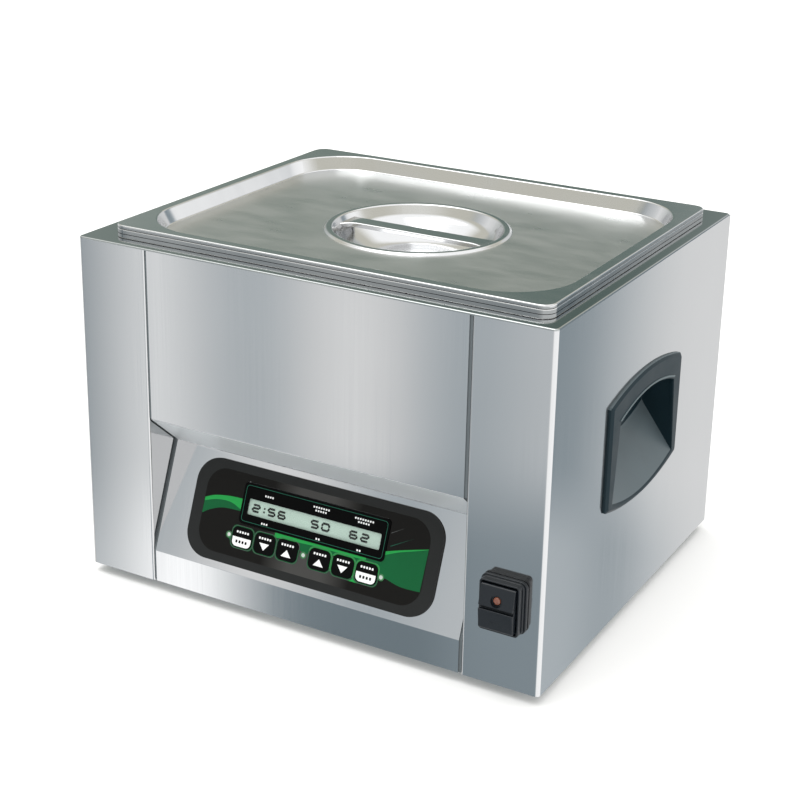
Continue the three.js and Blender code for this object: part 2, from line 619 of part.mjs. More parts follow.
function addTank() {
  const wall = (z) => WALL_TURN + (TANK_DRAFT * (RIM_TOP - z)) / TANK_DEPTH;
  const floorInset = wall(TANK_FLOOR) + TANK_FLOOR_RADIUS;
  const profile = [
    { inset: floorInset, corner: TANK_CORNER - TANK_DRAFT - TANK_FLOOR_RADIUS, z: TANK_FLOOR },
    ...[0.35, 0.7, 1].map((share) => {
      const turn = (share * Math.PI) / 2;
      const z = TANK_FLOOR + TANK_FLOOR_RADIUS * (1 - Math.cos(turn));
      const inset = wall(TANK_FLOOR) + TANK_FLOOR_RADIUS * (1 - Math.sin(turn));
      return { inset, corner: TANK_CORNER - TANK_DRAFT - TANK_FLOOR_RADIUS * (1 - Math.sin(turn)), z };
    }),
    { inset: wall(RIM_TOP - 10), corner: TANK_CORNER - SHOULDER, z: RIM_TOP - 10 },
    { inset: RIM_LEDGE + 1.5, corner: TANK_CORNER - 1.5, z: RIM_TOP - 3.2 },
    { inset: RIM_LEDGE + 0.4, corner: TANK_CORNER - 0.4, z: RIM_TOP - 0.6 },
    { inset: RIM_LEDGE - 0.8, corner: TANK_CORNER + 0.8, z: RIM_TOP },
    { inset: 0.8, corner: RIM_CORNER - 0.8, z: RIM_TOP },
    { inset: 0, corner: RIM_CORNER, z: RIM_TOP - 0.7 },
    { inset: 0, corner: RIM_CORNER, z: RIM_TOP - RIM_LIP },
  ];
  place('tank', pressedSheet(profile, PAN_SHEET), POLISHED, tankGroup);

  const gasketOut = [LID_LENGTH - 2 * GASKET_INSET, LID_DEPTH - 2 * GASKET_INSET];
  const gasketIn = gasketOut.map((size) => size - 2 * GASKET_WIDTH);
  const gasket = pierced(rectangle(...gasketOut, RIM_CORNER - 1), rectangle(...gasketIn, TANK_CORNER));
  place('tank_gasket', slab(gasket, TOP + GAP, RIM_TOP - PAN_SHEET - GAP, 'z', 7), RUBBER, tankGroup);
}

function addFalseBottom() {
  const inset = WALL_TURN + TANK_DRAFT + FALSE_BOTTOM_MARGIN;
  const [width, depth] = [LID_LENGTH - 2 * inset, LID_DEPTH - 2 * inset];
  const level = TANK_FLOOR + FALSE_BOTTOM_RISE + TANK_FLOOR_RADIUS / 2;
  const shape = rectangle(width, depth, 24);
  const [columns, rows] = [6, 4];
  for (let i = 0; i < columns; i += 1) {
    for (let j = 0; j < rows; j += 1) {
      const x = (i / (columns - 1) - 0.5) * (width - 56);
      const y = (j / (rows - 1) - 0.5) * (depth - 52);
      shape.holes.push(disc(FALSE_BOTTOM_HOLE, x, y, 6));
    }
  }
  const sheet = slab(shape, level, level + SHEET, 'z', 4);
  const legs = [-1, 1].flatMap((hand) => [-1, 1].map((end) => {
    const x = hand * (width / 2 - 40);
    const y = end * (depth / 2 - 9);
    return box([x - 12, x + 12], [y - SHEET / 2, y + SHEET / 2], [TANK_FLOOR + GAP, level + SHEET / 2]);
  }));
  place('false_bottom', join(sheet, ...legs), STEEL, tankGroup);
}

function addLid() {
  const bowl = [[DISH_FLOOR_RUN, 1], ...DISH_BOWL, [DISH_WALL_RUN, DISH_WALL_SHARE], [0, 0]];
  const dish = bowl.map(([inward, share]) => ({
    out: DISH_RADIUS - inward, z: TRAY_LEVEL - DISH_SINK * share,
  }));
  const bead = [[0.35, 1], [0.7, 1], [1, 0]].map(([across, up]) => ({
    out: DISH_RADIUS + DISH_BEAD * across, z: TRAY_LEVEL + DISH_BEAD_HEIGHT * up,
  }));
  const foot = TRAY_LEDGE + TRAY_WALL;
  const profile = [
    ...dish,
    ...bead,
    { inset: foot + 1, corner: TRAY_CORNER - TRAY_WALL - 1, z: TRAY_LEVEL },
    { inset: TRAY_LEDGE + 1.2, corner: TRAY_CORNER - 1.2, z: LID_TOP - 1 },
    { inset: TRAY_LEDGE - 0.6, corner: TRAY_CORNER + 0.6, z: LID_TOP },
    { inset: 0.9, corner: RIM_CORNER - 0.9, z: LID_TOP },
    { inset: 0, corner: RIM_CORNER, z: LID_TOP - 0.9 },
    { inset: 0, corner: RIM_CORNER, z: LID_TOP - LID_LIP },
  ];
  place('lid', pressedSheet(profile, PAN_SHEET), POLISHED, tankGroup);

  const half = HANDLE_WIDTH / 2;
  const top = TRAY_LEVEL - HANDLE_DROP;
  const under = top - HANDLE_THICKNESS;
  const curl = under - HANDLE_CURL;
  const section = [[-half, curl], [-half + 1.6, curl], [-half + 2.2, under], [half - 2.2, under], [half - 1.6, curl],
    [half, curl], [half, top - 0.8], [half - 0.9, top], [-half + 0.9, top], [-half, top - 0.8]];
  const run = DISH_WALL_RUN * (TRAY_LEVEL - curl) / (DISH_SINK * DISH_WALL_SHARE);
  const halfLength = Math.sqrt((DISH_RADIUS - run - GAP) ** 2 - half ** 2);
  place('lid_handle_bar', slab(polygon(section), -halfLength, halfLength, 'x'), POLISHED, tankGroup);
}

// ---- side grips

// The pocket at one depth behind the flange's face: the floor climbs and the roof rises past the lip.
function pocketRing(depth, grow) {
  const climb = (depth / (POCKET_DEPTH + GRIP_PROUD)) * POCKET_RISE;
  const roof = depth > POCKET_LIP ? POCKET_UNDERCUT : 0;
  const shape = gripShape(grow, POCKET_TOP_WIDTH, POCKET_BOTTOM_WIDTH, POCKET_TOP + roof, -POCKET_BOTTOM + climb);
  const points = shape.getPoints(8);
  points.pop();
  return points.map(({ x, y }) => new THREE.Vector3(SIDE + GRIP_PROUD - depth, x, y));
}

function addGrips() {
  const face = SIDE + GRIP_PROUD;
  const whole = gripShape(0, GRIP_WIDTH, GRIP_WIDTH, GRIP_EDGE / 2, -GRIP_EDGE / 2);
  const small = gripShape(-GRIP_BEVEL, GRIP_WIDTH, GRIP_WIDTH, GRIP_EDGE / 2, -GRIP_EDGE / 2);
  const outline = (shape, x) => shape.getPoints(8).slice(0, -1)
    .map((point) => new THREE.Vector3(x, point.x, point.y));
  const flange = loft([outline(whole, SIDE + GAP), outline(whole, face - GRIP_BEVEL / 2), outline(small, face)]);
  const end = POCKET_DEPTH + GRIP_PROUD;
  const shell = loft([pocketRing(end + POCKET_WALL, POCKET_WALL), pocketRing(POCKET_LIP + 0.1, POCKET_WALL),
    pocketRing(GRIP_PROUD - 1, POCKET_WALL)]);
  const hollow = loft([pocketRing(end, 0), pocketRing(POCKET_LIP + 0.1, 0), pocketRing(POCKET_LIP, 0),
    pocketRing(-1, 0)]);
  const grip = cut(join(flange, shell), hollow);
  grip.translate(0, 0, BOTTOM + GRIP_HEIGHT);
  place('right_grip', grip, GRIP_PLASTIC);
  place('left_grip', mirroredX(grip), GRIP_PLASTIC);
}

// ---- console

function addConsole() {
  const overlay = pierced(rectangle(OVERLAY_WIDTH, OVERLAY_HEIGHT, OVERLAY_CORNER, 0, OVERLAY_SLOPE),
    rectangle(BEZEL_WIDTH + 2 * GAP, BEZEL_HEIGHT + 2 * GAP, BEZEL_CORNER, 0, BEZEL_SLOPE),
    ...KEYS.map(({ x }) => rectangle(KEY_WIDTH + 2 * KEY_CLEARANCE, KEY_HEIGHT + 2 * KEY_CLEARANCE, KEY_CORNER, x,
      KEY_SLOPE)),
    ...LEDS.map(({ x }) => disc(LED_RADIUS + KEY_CLEARANCE, x, KEY_SLOPE, 10)));
  const overlayTop = GAP + OVERLAY_THICKNESS;
  place('keypad_overlay', slab(overlay, GAP, overlayTop, 'z', 2), OVERLAY_FILM, consoleGroup);

  const bezel = pierced(rectangle(BEZEL_WIDTH, BEZEL_HEIGHT, BEZEL_CORNER, 0, BEZEL_SLOPE),
    rectangle(WINDOW_WIDTH, WINDOW_HEIGHT, 1, 0, WINDOW_SLOPE));
  place('display_bezel', slab(bezel, GAP, GAP + BEZEL_THICKNESS, 'z', 3), BLACK_PLASTIC, consoleGroup);
  const pane = rectangle(WINDOW_WIDTH - 2 * GAP, WINDOW_HEIGHT - 2 * GAP, 0.8, 0, WINDOW_SLOPE);
  place('display_window', slab(pane, GAP, GAP + BEZEL_THICKNESS - 0.4, 'z', 2), CLEAR, consoleGroup);
  const block = box([-MODULE_WIDTH / 2, MODULE_WIDTH / 2],
    [BEZEL_SLOPE - MODULE_HEIGHT / 2, BEZEL_SLOPE + MODULE_HEIGHT / 2], [-MODULE_DEPTH, 0]);
  const chamfer = box([-MODULE_WIDTH, MODULE_WIDTH], [BEZEL_SLOPE + MODULE_HEIGHT / 2 - 1.5, BEZEL_SLOPE + 20],
    [-MODULE_DEPTH - 1, -MODULE_DEPTH + 2]);
  place('lcd_module', cut(block, chamfer), CLEAR, consoleGroup);

  KEYS.forEach(({ name, x }) => {
    const capOutline = rectangle(KEY_WIDTH, KEY_HEIGHT, KEY_CORNER);
    const cap = slab(capOutline, KEY_TRAVEL + 0.1, overlayTop + KEY_PROUD, 'z', 2);
    const stem = box([-STEM[0] / 2, STEM[0] / 2], [-STEM[1] / 2, STEM[1] / 2], [-KEY_STEM, KEY_TRAVEL + 0.2]);
    place(name, join(cap, stem), BLACK_PLASTIC, consoleGroup).position.set(x, KEY_SLOPE, 0);
  });

  const dome = [[0, -BOARD_DEPTH + 0.4], [LED_RADIUS, -BOARD_DEPTH + 0.4], [LED_RADIUS, overlayTop - 0.2],
    [LED_RADIUS * 0.7, overlayTop + 0.3], [0, overlayTop + 0.5]].map(([r, z]) => new THREE.Vector2(r, z));
  LEDS.forEach(({ name, x }) => {
    const lamp = new THREE.LatheGeometry(dome, 10).rotateX(Math.PI / 2);
    place(name, lamp, LAMP_WHITE, consoleGroup).position.set(x, KEY_SLOPE, 0);
  });

  const halfBoard = PANEL_HALF - 18;
  const [low, high] = [9, SLOPE_LENGTH - 14];
  const faceLevel = -BOARD_DEPTH;
  const sheet = box([-halfBoard, halfBoard], [low, high], [faceLevel - BOARD_THICKNESS, faceLevel]);
  const buttons = KEYS.map(({ x }) => box([x - 3, x + 3], [KEY_SLOPE - 3, KEY_SLOPE + 3],
    [faceLevel - 0.2, -KEY_STEM - KEY_TRAVEL - 0.5]));
  const spacers = [-1, 1].flatMap((hand) => [low + 4, high - 4].map((y) => rod(3, faceLevel - 0.2, -SHEET - GAP, 'z',
    [hand * (halfBoard - 4), y], 10)));
  const chips = [[-60, 9], [20, 14]].map(([x, size]) => box([x - size, x + size], [30, 30 + size],
    [faceLevel - BOARD_THICKNESS - 2.4, faceLevel - 0.4]));
  place('control_board', join(sheet, ...buttons, ...spacers, ...chips), BOARD_GREEN, consoleGroup);
}

// ---- power switch. Its frame's y is 0 at the column's face and negative out of it.

function addSwitch() {
  const [flange, collar, frame] = [SWITCH_FLANGE, SWITCH_COLLAR, SWITCH_FRAME];
  const opening = rectangle(ROCKER_WIDTH + 2 * ROCKER_CLEARANCE, ROCKER_HEIGHT + 2 * ROCKER_END_CLEARANCE, 1);
  const bezel = join(
    slab(rectangle(flange[0], flange[1], 4.5), -flange[2], -GAP, 'y', 3),
    slab(rectangle(collar[0], collar[1], 3.6), -collar[2], -flange[2] + 0.1, 'y', 3),
    slab(rectangle(frame[0], frame[1], 2.4), -frame[2], -collar[2] + 0.1, 'y', 3),
  );
  place('switch_bezel', cut(bezel, slab(opening, -frame[2] - 1, 1, 'y', 2)), BLACK_PLASTIC, switchGroup);

  const [bodyWidth, bodyHeight] = [ROCKER_WIDTH - 0.6, ROCKER_HEIGHT];
  const body = box([-bodyWidth / 2, bodyWidth / 2], [0, SWITCH_BODY_DEPTH],
    [-bodyHeight / 2, bodyHeight / 2]);
  const blades = [-6, 6].flatMap((x) => [-9, 0, 9].map((z) => box([x - 0.4, x + 0.4],
    [SWITCH_BODY_DEPTH - 1, SWITCH_BODY_DEPTH + 8], [z - 3, z + 3])));
  place('switch_body', join(body, ...blades), BLACK_PLASTIC, switchGroup);

  // The rocker's section, upright, with both faces falling away from its middle. At rest it is
  // tipped half its throw, top inward.
  const half = ROCKER_HEIGHT / 2;
  const fall = (half - ROCKER_GROOVE / 2) * Math.tan(degrees(ROCKER_FACE_SLOPE));
  const groove = ROCKER_GROOVE / 2;
  const upper = [[ROCKER_ROOT, half - 1], [ROCKER_CREST - fall - 1, half], [ROCKER_CREST - fall, half - 1],
    [ROCKER_CREST - 0.3, groove + 0.3], [ROCKER_CREST - ROCKER_GROOVE_DEPTH, groove]];
  const lower = upper.map(([out, z]) => [out, -z]).reverse();
  const section = polygon([...upper, ...lower].map(([out, z]) => [-out, z]));
  const block = slab(section, -ROCKER_WIDTH / 2, ROCKER_WIDTH / 2, 'x');
  const faceAt = ROCKER_CREST - LENS_HEIGHT * Math.tan(degrees(ROCKER_FACE_SLOPE));
  const well = rod(LENS_WELL_RADIUS, -faceAt - 2, -faceAt + 1.2, 'y', [0, LENS_HEIGHT], 20);
  const seat = rod(LENS_RADIUS + GAP, -faceAt, -faceAt + 3.4, 'y', [0, LENS_HEIGHT], 20);
  const lens = rod(LENS_RADIUS, -faceAt + 0.3, -faceAt + 3, 'y', [0, LENS_HEIGHT], 20);
  const pivot = new THREE.Group();
  pivot.position.y = -ROCKER_PIVOT;
  pivot.rotation.x = degrees(-ROCKER_THROW / 2);
  switchGroup.add(pivot);
  const toPivot = (geometry) => geometry.translate(0, ROCKER_PIVOT, 0);
  place('power_rocker', toPivot(cut(block, well, seat)), BLACK_PLASTIC, pivot);
  place('rocker_lens', toPivot(lens), LAMP_AMBER, pivot);
}

// ---- mains inlet. Its frame's y is 0 at the back panel's face and positive out of it.

function addInlet() {
  const [flangeWidth, flangeHeight, proud] = INLET_FLANGE;
  const [bodyWidth, bodyHeight, bodyDepth] = INLET_BODY;
  const flange = slab(rectangle(flangeWidth, flangeHeight, 4), GAP, proud, 'y', 4);
  const body = box([-bodyWidth / 2, bodyWidth / 2], [-bodyDepth, GAP + 0.1],
    [-bodyHeight / 2, bodyHeight / 2]);
  const mouth = rectangle(SOCKET[0], SOCKET[1], 2.5, 0, SOCKET_LIFT);
  const socket = slab(mouth, proud - SOCKET[2], proud + 1, 'y', 3);
  const slotDepth = DRAWER[2] + 0.6;
  const [slotWidth, slotHeight] = [DRAWER[0] + 2 * DRAWER_CLEARANCE, DRAWER[1] + 2 * DRAWER_CLEARANCE];
  const slotOutline = rectangle(slotWidth, slotHeight, 0.3, 0, -DRAWER_DROP);
  const slot = slab(slotOutline, proud - slotDepth, proud + 1, 'y', 2);
  const holes = [-1, 1].map((hand) => rod(SCREW_RADIUS + GAP, -1, proud + 1, 'y',
    [(hand * INLET_SCREW_SPACING) / 2, 0], 12));
  place('mains_inlet', cut(join(flange, body), socket, slot, ...holes), BLACK_PLASTIC, inletGroup);

  const socketFloor = proud - SOCKET[2];
  const pins = { live: [-7, 2.6], neutral: [7, 2.6], earth: [0, 6.8] };
  Object.entries(pins).forEach(([name, [x, z]]) => {
    const pin = box([x - PIN[0] / 2, x + PIN[0] / 2], [socketFloor + GAP, socketFloor + GAP + PIN[2]],
      [z - PIN[1] / 2, z + PIN[1] / 2]);
    place(`inlet_${name}_pin`, pin, BRASS, inletGroup);
  });

  const drawerBack = proud - DRAWER[2];
  const tray = box([-DRAWER[0] / 2, DRAWER[0] / 2], [drawerBack, proud + DRAWER_PROUD],
    [-DRAWER_DROP - DRAWER[1] / 2, -DRAWER_DROP + DRAWER[1] / 2]);
  const fuseY = [drawerBack + 1.4, drawerBack + 1.4 + FUSE_LENGTH];
  const fuseZ = -DRAWER_DROP + DRAWER[1] / 2 - FUSE_RADIUS - 0.2;
  const pocket = box([-FUSE_RADIUS - GAP, FUSE_RADIUS + GAP], [fuseY[0] - GAP, fuseY[1] + GAP],
    [fuseZ - FUSE_RADIUS - GAP, fuseZ + 10]);
  const pull = box([-5, 5], [proud + DRAWER_PROUD - 0.6, proud + DRAWER_PROUD + 1],
    [-DRAWER_DROP - 1, -DRAWER_DROP + 1]);
  place('fuse_drawer', cut(tray, pocket, pull), BLACK_PLASTIC, inletGroup);
  place('fuse', rod(FUSE_RADIUS, ...fuseY, 'y', [0, fuseZ], 14), CLEAR, inletGroup);

  [-1, 1].forEach((hand, i) => {
    const mesh = place(`inlet_screw_${i + 1}`, screw(), STEEL, inletGroup);
    mesh.position.set((hand * INLET_SCREW_SPACING) / 2, proud, 0);
  });
}

// ---- what lies under and against the tank

function addHeater() {
  const floorInset = WALL_TURN + TANK_DRAFT + TANK_FLOOR_RADIUS + HEATER_MARGIN;
  const [width, depth] = [LID_LENGTH - 2 * floorInset, LID_DEPTH - 2 * floorInset];
  const stack = [
    ['heater_mat', HEATER_THICKNESS, SILICONE, 0],
    ['heater_clamp_plate', SHEET, ALUMINIUM, 4],
    ['insulation_pad', INSULATION_THICKNESS, FELT, -6],
  ];
  let top = TANK_UNDERSIDE - GAP;
  let clampUnderside = top;
  stack.forEach(([name, thickness, finish, trim]) => {
    const outline = rectangle(width - trim, depth - trim, 12);
    if (name === 'insulation_pad') {
      clampUnderside = top;
      outline.holes.push(disc(CUTOUT_RADIUS + 1, 0, 0, 18));
    }
    place(name, slab(outline, top - thickness, top, 'z', 4), finish, tankGroup);
    top -= thickness + GAP;
  });
  const cutoutTop = clampUnderside;
  const body = rod(CUTOUT_RADIUS, cutoutTop - CUTOUT_HEIGHT, cutoutTop, 'z', [0, 0], 18);
  const tabs = [-1, 1].map((hand) => box([hand * 4 - 0.4, hand * 4 + 0.4], [-3, 3],
    [cutoutTop - CUTOUT_HEIGHT - 6, cutoutTop - CUTOUT_HEIGHT + 0.5]));
  place('thermal_cutout', join(body, ...tabs), BLACK_PLASTIC, tankGroup);

  const probeZ = TANK_FLOOR + 20;
  const wallY = LID_DEPTH / 2 - WALL_TURN - (TANK_DRAFT * (RIM_TOP - probeZ)) / TANK_DEPTH + PAN_SHEET;
  const probe = rod(PROBE_RADIUS, 40, 40 + PROBE_LENGTH, 'x', [wallY + PROBE_RADIUS + 1, probeZ], 14);
  const lug = box([55, 61], [wallY + 0.8, wallY + PROBE_RADIUS + 1], [probeZ - 6, probeZ + 6]);
  place('temperature_probe', join(probe, lug), POLISHED, tankGroup);
}

function circuitBoard([x0, x1], [y0, y1], parts) {
  const [low, high] = [FLOOR_TOP + GAP + STANDOFF, FLOOR_TOP + GAP + STANDOFF + BOARD_THICKNESS];
  const sheet = box([x0, x1], [y0, y1], [low, high]);
  const leg = (x, y) => rod(2.5, FLOOR_TOP + GAP, low + 0.2, 'z', [x, y], 10);
  const legs = [x0 + 5, x1 - 5].flatMap((x) => [y0 + 5, y1 - 5].map((y) => leg(x, y)));
  const blocks = parts.map(([x, y, width, depth, height]) => box([x, x + width], [y, y + depth],
    [high - 0.2, high + height]));
  return join(sheet, ...legs, ...blocks);
}

function addElectronics() {
  const board = circuitBoard(POWER_BOARD.across, POWER_BOARD.along, POWER_PARTS);
  place('power_board', board, BOARD_GREEN);

  const [coreWidth, coreDepth, coreHeight] = TRANSFORMER_CORE;
  const base = FLOOR_TOP + GAP;
  const core = box([-coreWidth / 2, coreWidth / 2], [-coreDepth / 2, coreDepth / 2], [base, base + coreHeight]);
  const coil = box([-coreWidth / 2 + 9, coreWidth / 2 - 9], [-coreDepth / 2 - 8, coreDepth / 2 + 8],
    [base + 9, base + coreHeight - 9]);
  place('transformer', join(core, coil), CORE_STEEL).position.set(...TRANSFORMER_PLACE, 0);

  const sinkWidth = (SINK_FINS - 1) * SINK_PITCH + SINK_FIN;
  const comb = [[0, 0], [sinkWidth, 0], [sinkWidth, SINK_HEIGHT]];
  for (let i = SINK_FINS - 1; i > 0; i -= 1) {
    const [near, far] = [i * SINK_PITCH, (i - 1) * SINK_PITCH + SINK_FIN];
    comb.push([near, SINK_HEIGHT], [near, SINK_BASE], [far, SINK_BASE], [far, SINK_HEIGHT]);
  }
  comb.push([0, SINK_HEIGHT]);
  const outline = polygon(comb.map(([x, z]) => [x - sinkWidth / 2, -z]));
  const sink = slab(outline, -SINK_LENGTH / 2, SINK_LENGTH / 2, 'x');
  const sinkTop = [...SINK_PLACE, base + SINK_HEIGHT];
  place('heat_sink', sink, ALUMINIUM).position.set(...sinkTop);
  const relay = box([-RELAY[0] / 2, RELAY[0] / 2], [-RELAY[1] / 2, RELAY[1] / 2], [GAP, RELAY[2]]);
  const terminals = [-20, 20].flatMap((x) => [-13, 13].map((y) => rod(4, RELAY[2] - 0.2, RELAY[2] + 3, 'z',
    [x, y], 12)));
  place('solid_state_relay', join(relay, ...terminals), BLACK_PLASTIC).position.set(...sinkTop);
}

function lead(points) {
  const curve = new THREE.CatmullRomCurve3(points.map((point) => new THREE.Vector3(...point)));
  const options = { steps: 14, bevelEnabled: false, extrudePath: curve };
  return new THREE.ExtrudeGeometry(disc(LEAD_RADIUS, 0, 0, 6), options);
}

function addLeads() {
  const boardTop = FLOOR_TOP + GAP + STANDOFF + BOARD_THICKNESS;
  place('heater_lead', lead([[-60, 52, boardTop + 3], [-52, 50, boardTop + 20], [-28, 30, boardTop + 30],
    [-12, 12, boardTop + 34], [-9, 5, TANK_UNDERSIDE - 30]]), SILICONE);
  place('control_lead', lead([[-60, 14, boardTop + 3], [-58, -4, boardTop + 10], [-62, -50, boardTop + 6],
    [-66, -86, boardTop + 12], [-66, -103, boardTop + 26]]), RUBBER);
}

addCasing();
addFeet();
addBackScrews();
addTank();
addFalseBottom();
addLid();
addGrips();
addConsole();
addSwitch();
addInlet();
addHeater();
addElectronics();
addLeads();

// The switch stands out further in front than the inlet does behind, so the middle of the whole
// object, where its origin is, lies in front of the casing's middle.
bath.position.y = (ROCKER_CREST - INLET_PROUD) / 2;

export default bath;
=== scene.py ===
# A table-top sous vide water bath in brushed and polished stainless steel.
# Sizes below are in millimetres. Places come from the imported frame, which is in metres.
import math
from contextlib import contextmanager

import bmesh
import bpy
from mathutils import Matrix, Vector


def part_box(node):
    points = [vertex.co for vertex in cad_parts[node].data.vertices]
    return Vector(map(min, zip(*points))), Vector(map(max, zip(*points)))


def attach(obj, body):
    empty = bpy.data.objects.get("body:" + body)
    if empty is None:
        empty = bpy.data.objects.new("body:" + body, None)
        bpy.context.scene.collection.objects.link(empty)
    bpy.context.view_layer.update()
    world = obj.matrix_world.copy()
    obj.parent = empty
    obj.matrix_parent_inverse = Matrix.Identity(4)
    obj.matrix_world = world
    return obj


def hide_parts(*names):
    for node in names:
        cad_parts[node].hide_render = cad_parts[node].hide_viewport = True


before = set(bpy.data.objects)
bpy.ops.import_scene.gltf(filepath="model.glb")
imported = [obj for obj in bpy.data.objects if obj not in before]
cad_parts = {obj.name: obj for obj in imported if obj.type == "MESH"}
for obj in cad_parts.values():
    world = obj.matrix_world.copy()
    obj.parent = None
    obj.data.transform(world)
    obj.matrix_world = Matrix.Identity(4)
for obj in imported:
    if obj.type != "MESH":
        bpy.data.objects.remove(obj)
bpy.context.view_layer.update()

MM = 0.001
BODY = "casing"
STRAIGHT = 3.12  # an angle this near to a half turn, in radians, has no corner to round


class Span:
    """A CAD node's box, in millimetres."""

    def __init__(self, node):
        low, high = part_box(node)
        self.low, self.high = low / MM, high / MM
        self.mid, self.size = (self.low + self.high) / 2, self.high - self.low


deck = Span("top_deck")
lid_box = Span("lid")
tank_box = Span("tank")
panel = Span("front_panel")
right_side = Span("right_side_panel")
overlay_box = Span("keypad_overlay")

# ---------------------------------------------------------------- sizes that the CAD shares

SHEET = 1.2
PAN_SHEET = 1.0
CONSOLE_SINK = 28.8
CHAMFER_DROP = 24.9
SKIRT_HEIGHT = 24.0
CONSOLE_HEIGHT = 98.5
RETURN_DEPTH = 31.8
RETURN_TOP_DEPTH = 20.0
RETURN_ABOVE_RECESS = 3.0
RIM_CORNER = 9.0
TANK_CORNER = 46.0
RIM_LEDGE = 6.5
TANK_DRAFT = 9.0
TANK_FLOOR_RADIUS = 12.0
TRAY_LEDGE = 8.0
TRAY_SINK = 10.0
TRAY_WALL = 4.5
TRAY_CORNER = 47.0
DISH_RADIUS = 60.0
DISH_SINK = 20.0
DISH_BEAD = 5.5
DISH_BEAD_HEIGHT = 1.5
KEY_SIZE = (16.5, 14.2, 4.0)
KEY_SLOPE = 25.0
BEZEL = (114.0, 28.4, 3.0)
BEZEL_SLOPE = 48.9
WINDOW = (104.0, 10.9, 1.0)
WINDOW_SLOPE = 47.0
OVERLAY_BOTTOM = 4.8
OVERLAY_TOP_MARGIN = 4.7
OVERLAY_CORNER = 18.0
OVERLAY_FACE = 1.3
GRIP_WIDTH, GRIP_EDGE, GRIP_ARCH, GRIP_PROUD = 122.4, 75.0, 8.2, 3.0
POCKET_TOP_WIDTH, POCKET_BOTTOM_WIDTH = 94.0, 106.8
POCKET_TOP, POCKET_BOTTOM = 22.5, 34.5
POCKET_DEPTH, POCKET_RISE, POCKET_UNDERCUT = 22.0, 34.0, 5.0
GRIP_WALL = 1.6
DECK_LAP = 6.6  # how far the deck reaches under the lid
GROOVE_WIDTH, GROOVE_SINK, GROOVE_GAP = 2.0, 0.9, 0.05
DIGIT_SIZE, DIGIT_STROKE, DIGIT_BASE = (5.2, 4.4), 1.45, 44.5

SIDE, FRONT, BACK = deck.high.x, deck.low.y, deck.high.y
TOP, BOTTOM = deck.high.z, panel.low.z
WALL_TOP = panel.high.z
DECK_UNDERSIDE = TOP - 1.2
LEFT_EDGE, RIGHT_EDGE = panel.low.x, panel.high.x
COLUMN_EDGE = right_side.low.x
SKIRT_TOP = BOTTOM + SKIRT_HEIGHT
RECESS_TOP = SKIRT_TOP + CONSOLE_HEIGHT
INNER_FOLD = RECESS_TOP - CHAMFER_DROP
SLOPE_RISE = INNER_FOLD - SKIRT_TOP
SLOPE_LENGTH = math.hypot(CONSOLE_SINK, SLOPE_RISE)
SLOPE_ANGLE = math.atan2(SLOPE_RISE, CONSOLE_SINK)

# The console's own frame: x across, y up the slope, z out of the panel.
CONSOLE = Matrix.Translation((0, FRONT, SKIRT_TOP)) @ Matrix.Rotation(SLOPE_ANGLE, 4, "X")

# ---------------------------------------------------------------- outlines


def arc(center, radius, start, end, steps):
    """Points on an arc, its ends included, with angles in degrees."""
    turns = [math.radians(start + (end - start) * i / steps) for i in range(steps + 1)]
    return [(center[0] + radius * math.cos(t), center[1] + radius * math.sin(t)) for t in turns]


def rounded_rectangle(width, height, radius, middle=(0, 0), steps=8):
    x, y = width / 2 - radius, height / 2 - radius
    corners = [((x, -y), -90), ((x, y), 0), ((-x, y), 90), ((-x, -y), 180)]
    points = [p for c, turn in corners for p in arc(c, radius, turn, turn + 90, steps)]
    return [(p[0] + middle[0], p[1] + middle[1]) for p in points]


def circle(radius, middle=(0, 0), steps=32):
    return arc(middle, radius, 0, 360, steps)[:-1]


def rounded_path(corners, steps=5):
    """An open path through corners given as (x, y, fillet radius)."""
    points = [Vector(corners[0][:2])]
    for before, here, after in zip(corners, corners[1:], corners[2:]):
        spot = Vector(here[:2])
        back = (Vector(before[:2]) - spot).normalized()
        on = (Vector(after[:2]) - spot).normalized()
        if here[2] <= 0 or back.angle(on) > STRAIGHT:
            points.append(spot)
            continue
        half = back.angle(on) / 2
        trim = here[2] / math.tan(half)
        middle = spot + (back + on).normalized() * (here[2] / math.sin(half))
        first, last = spot + back * trim - middle, spot + on * trim - middle
        turn = first.angle_signed(last)
        for i in range(steps + 1):
            points.append(middle + Matrix.Rotation(-turn * i / steps, 2) @ first)
    points.append(Vector(corners[-1][:2]))
    return [tuple(p) for p in points]


def beside(path, distance):
    """The open path moved sideways, to its left where distance is positive."""
    moved = []
    for i, point in enumerate(path):
        here = Vector(point)
        into = here - Vector(path[max(i - 1, 0)])
        on = Vector(path[min(i + 1, len(path) - 1)]) - here
        into = on.normalized() if i == 0 else into.normalized()
        on = into if i == len(path) - 1 else on.normalized()
        along = (into + on) / 2
        left = Vector((-along.y, along.x))
        moved.append(tuple(here + left * (distance / max(along.length_squared, 0.05))))
    return moved


# ---------------------------------------------------------------- meshes


def placed(name, data):
    made = bpy.data.objects.new(name, data)
    bpy.context.scene.collection.objects.link(made)
    return made


def new_object(name, vertices, faces):
    mesh = bpy.data.meshes.new(name)
    mesh.from_pydata([tuple(Vector(v) * MM) for v in vertices], [], faces)
    return turned_out(placed(name, mesh))


@contextmanager
def reshaping(mesh):
    """Opens a mesh for bmesh work, then turns its faces outward and writes it back."""
    shape = bmesh.new()
    shape.from_mesh(mesh)
    yield shape
    bmesh.ops.recalc_face_normals(shape, faces=shape.faces)
    shape.to_mesh(mesh)
    shape.free()


def turned_out(piece):
    with reshaping(piece.data):
        return piece


def mirrored(piece, hand):
    """The piece itself for the right hand, or turned into its left twin."""
    if hand > 0:
        return piece
    piece.data.transform(Matrix.Scale(-1, 4, (1, 0, 0)))
    return turned_out(piece)


def soften(piece, angle=32):
    for face in piece.data.polygons:
        face.use_smooth = True
    piece.data.set_sharp_from_angle(angle=math.radians(angle))


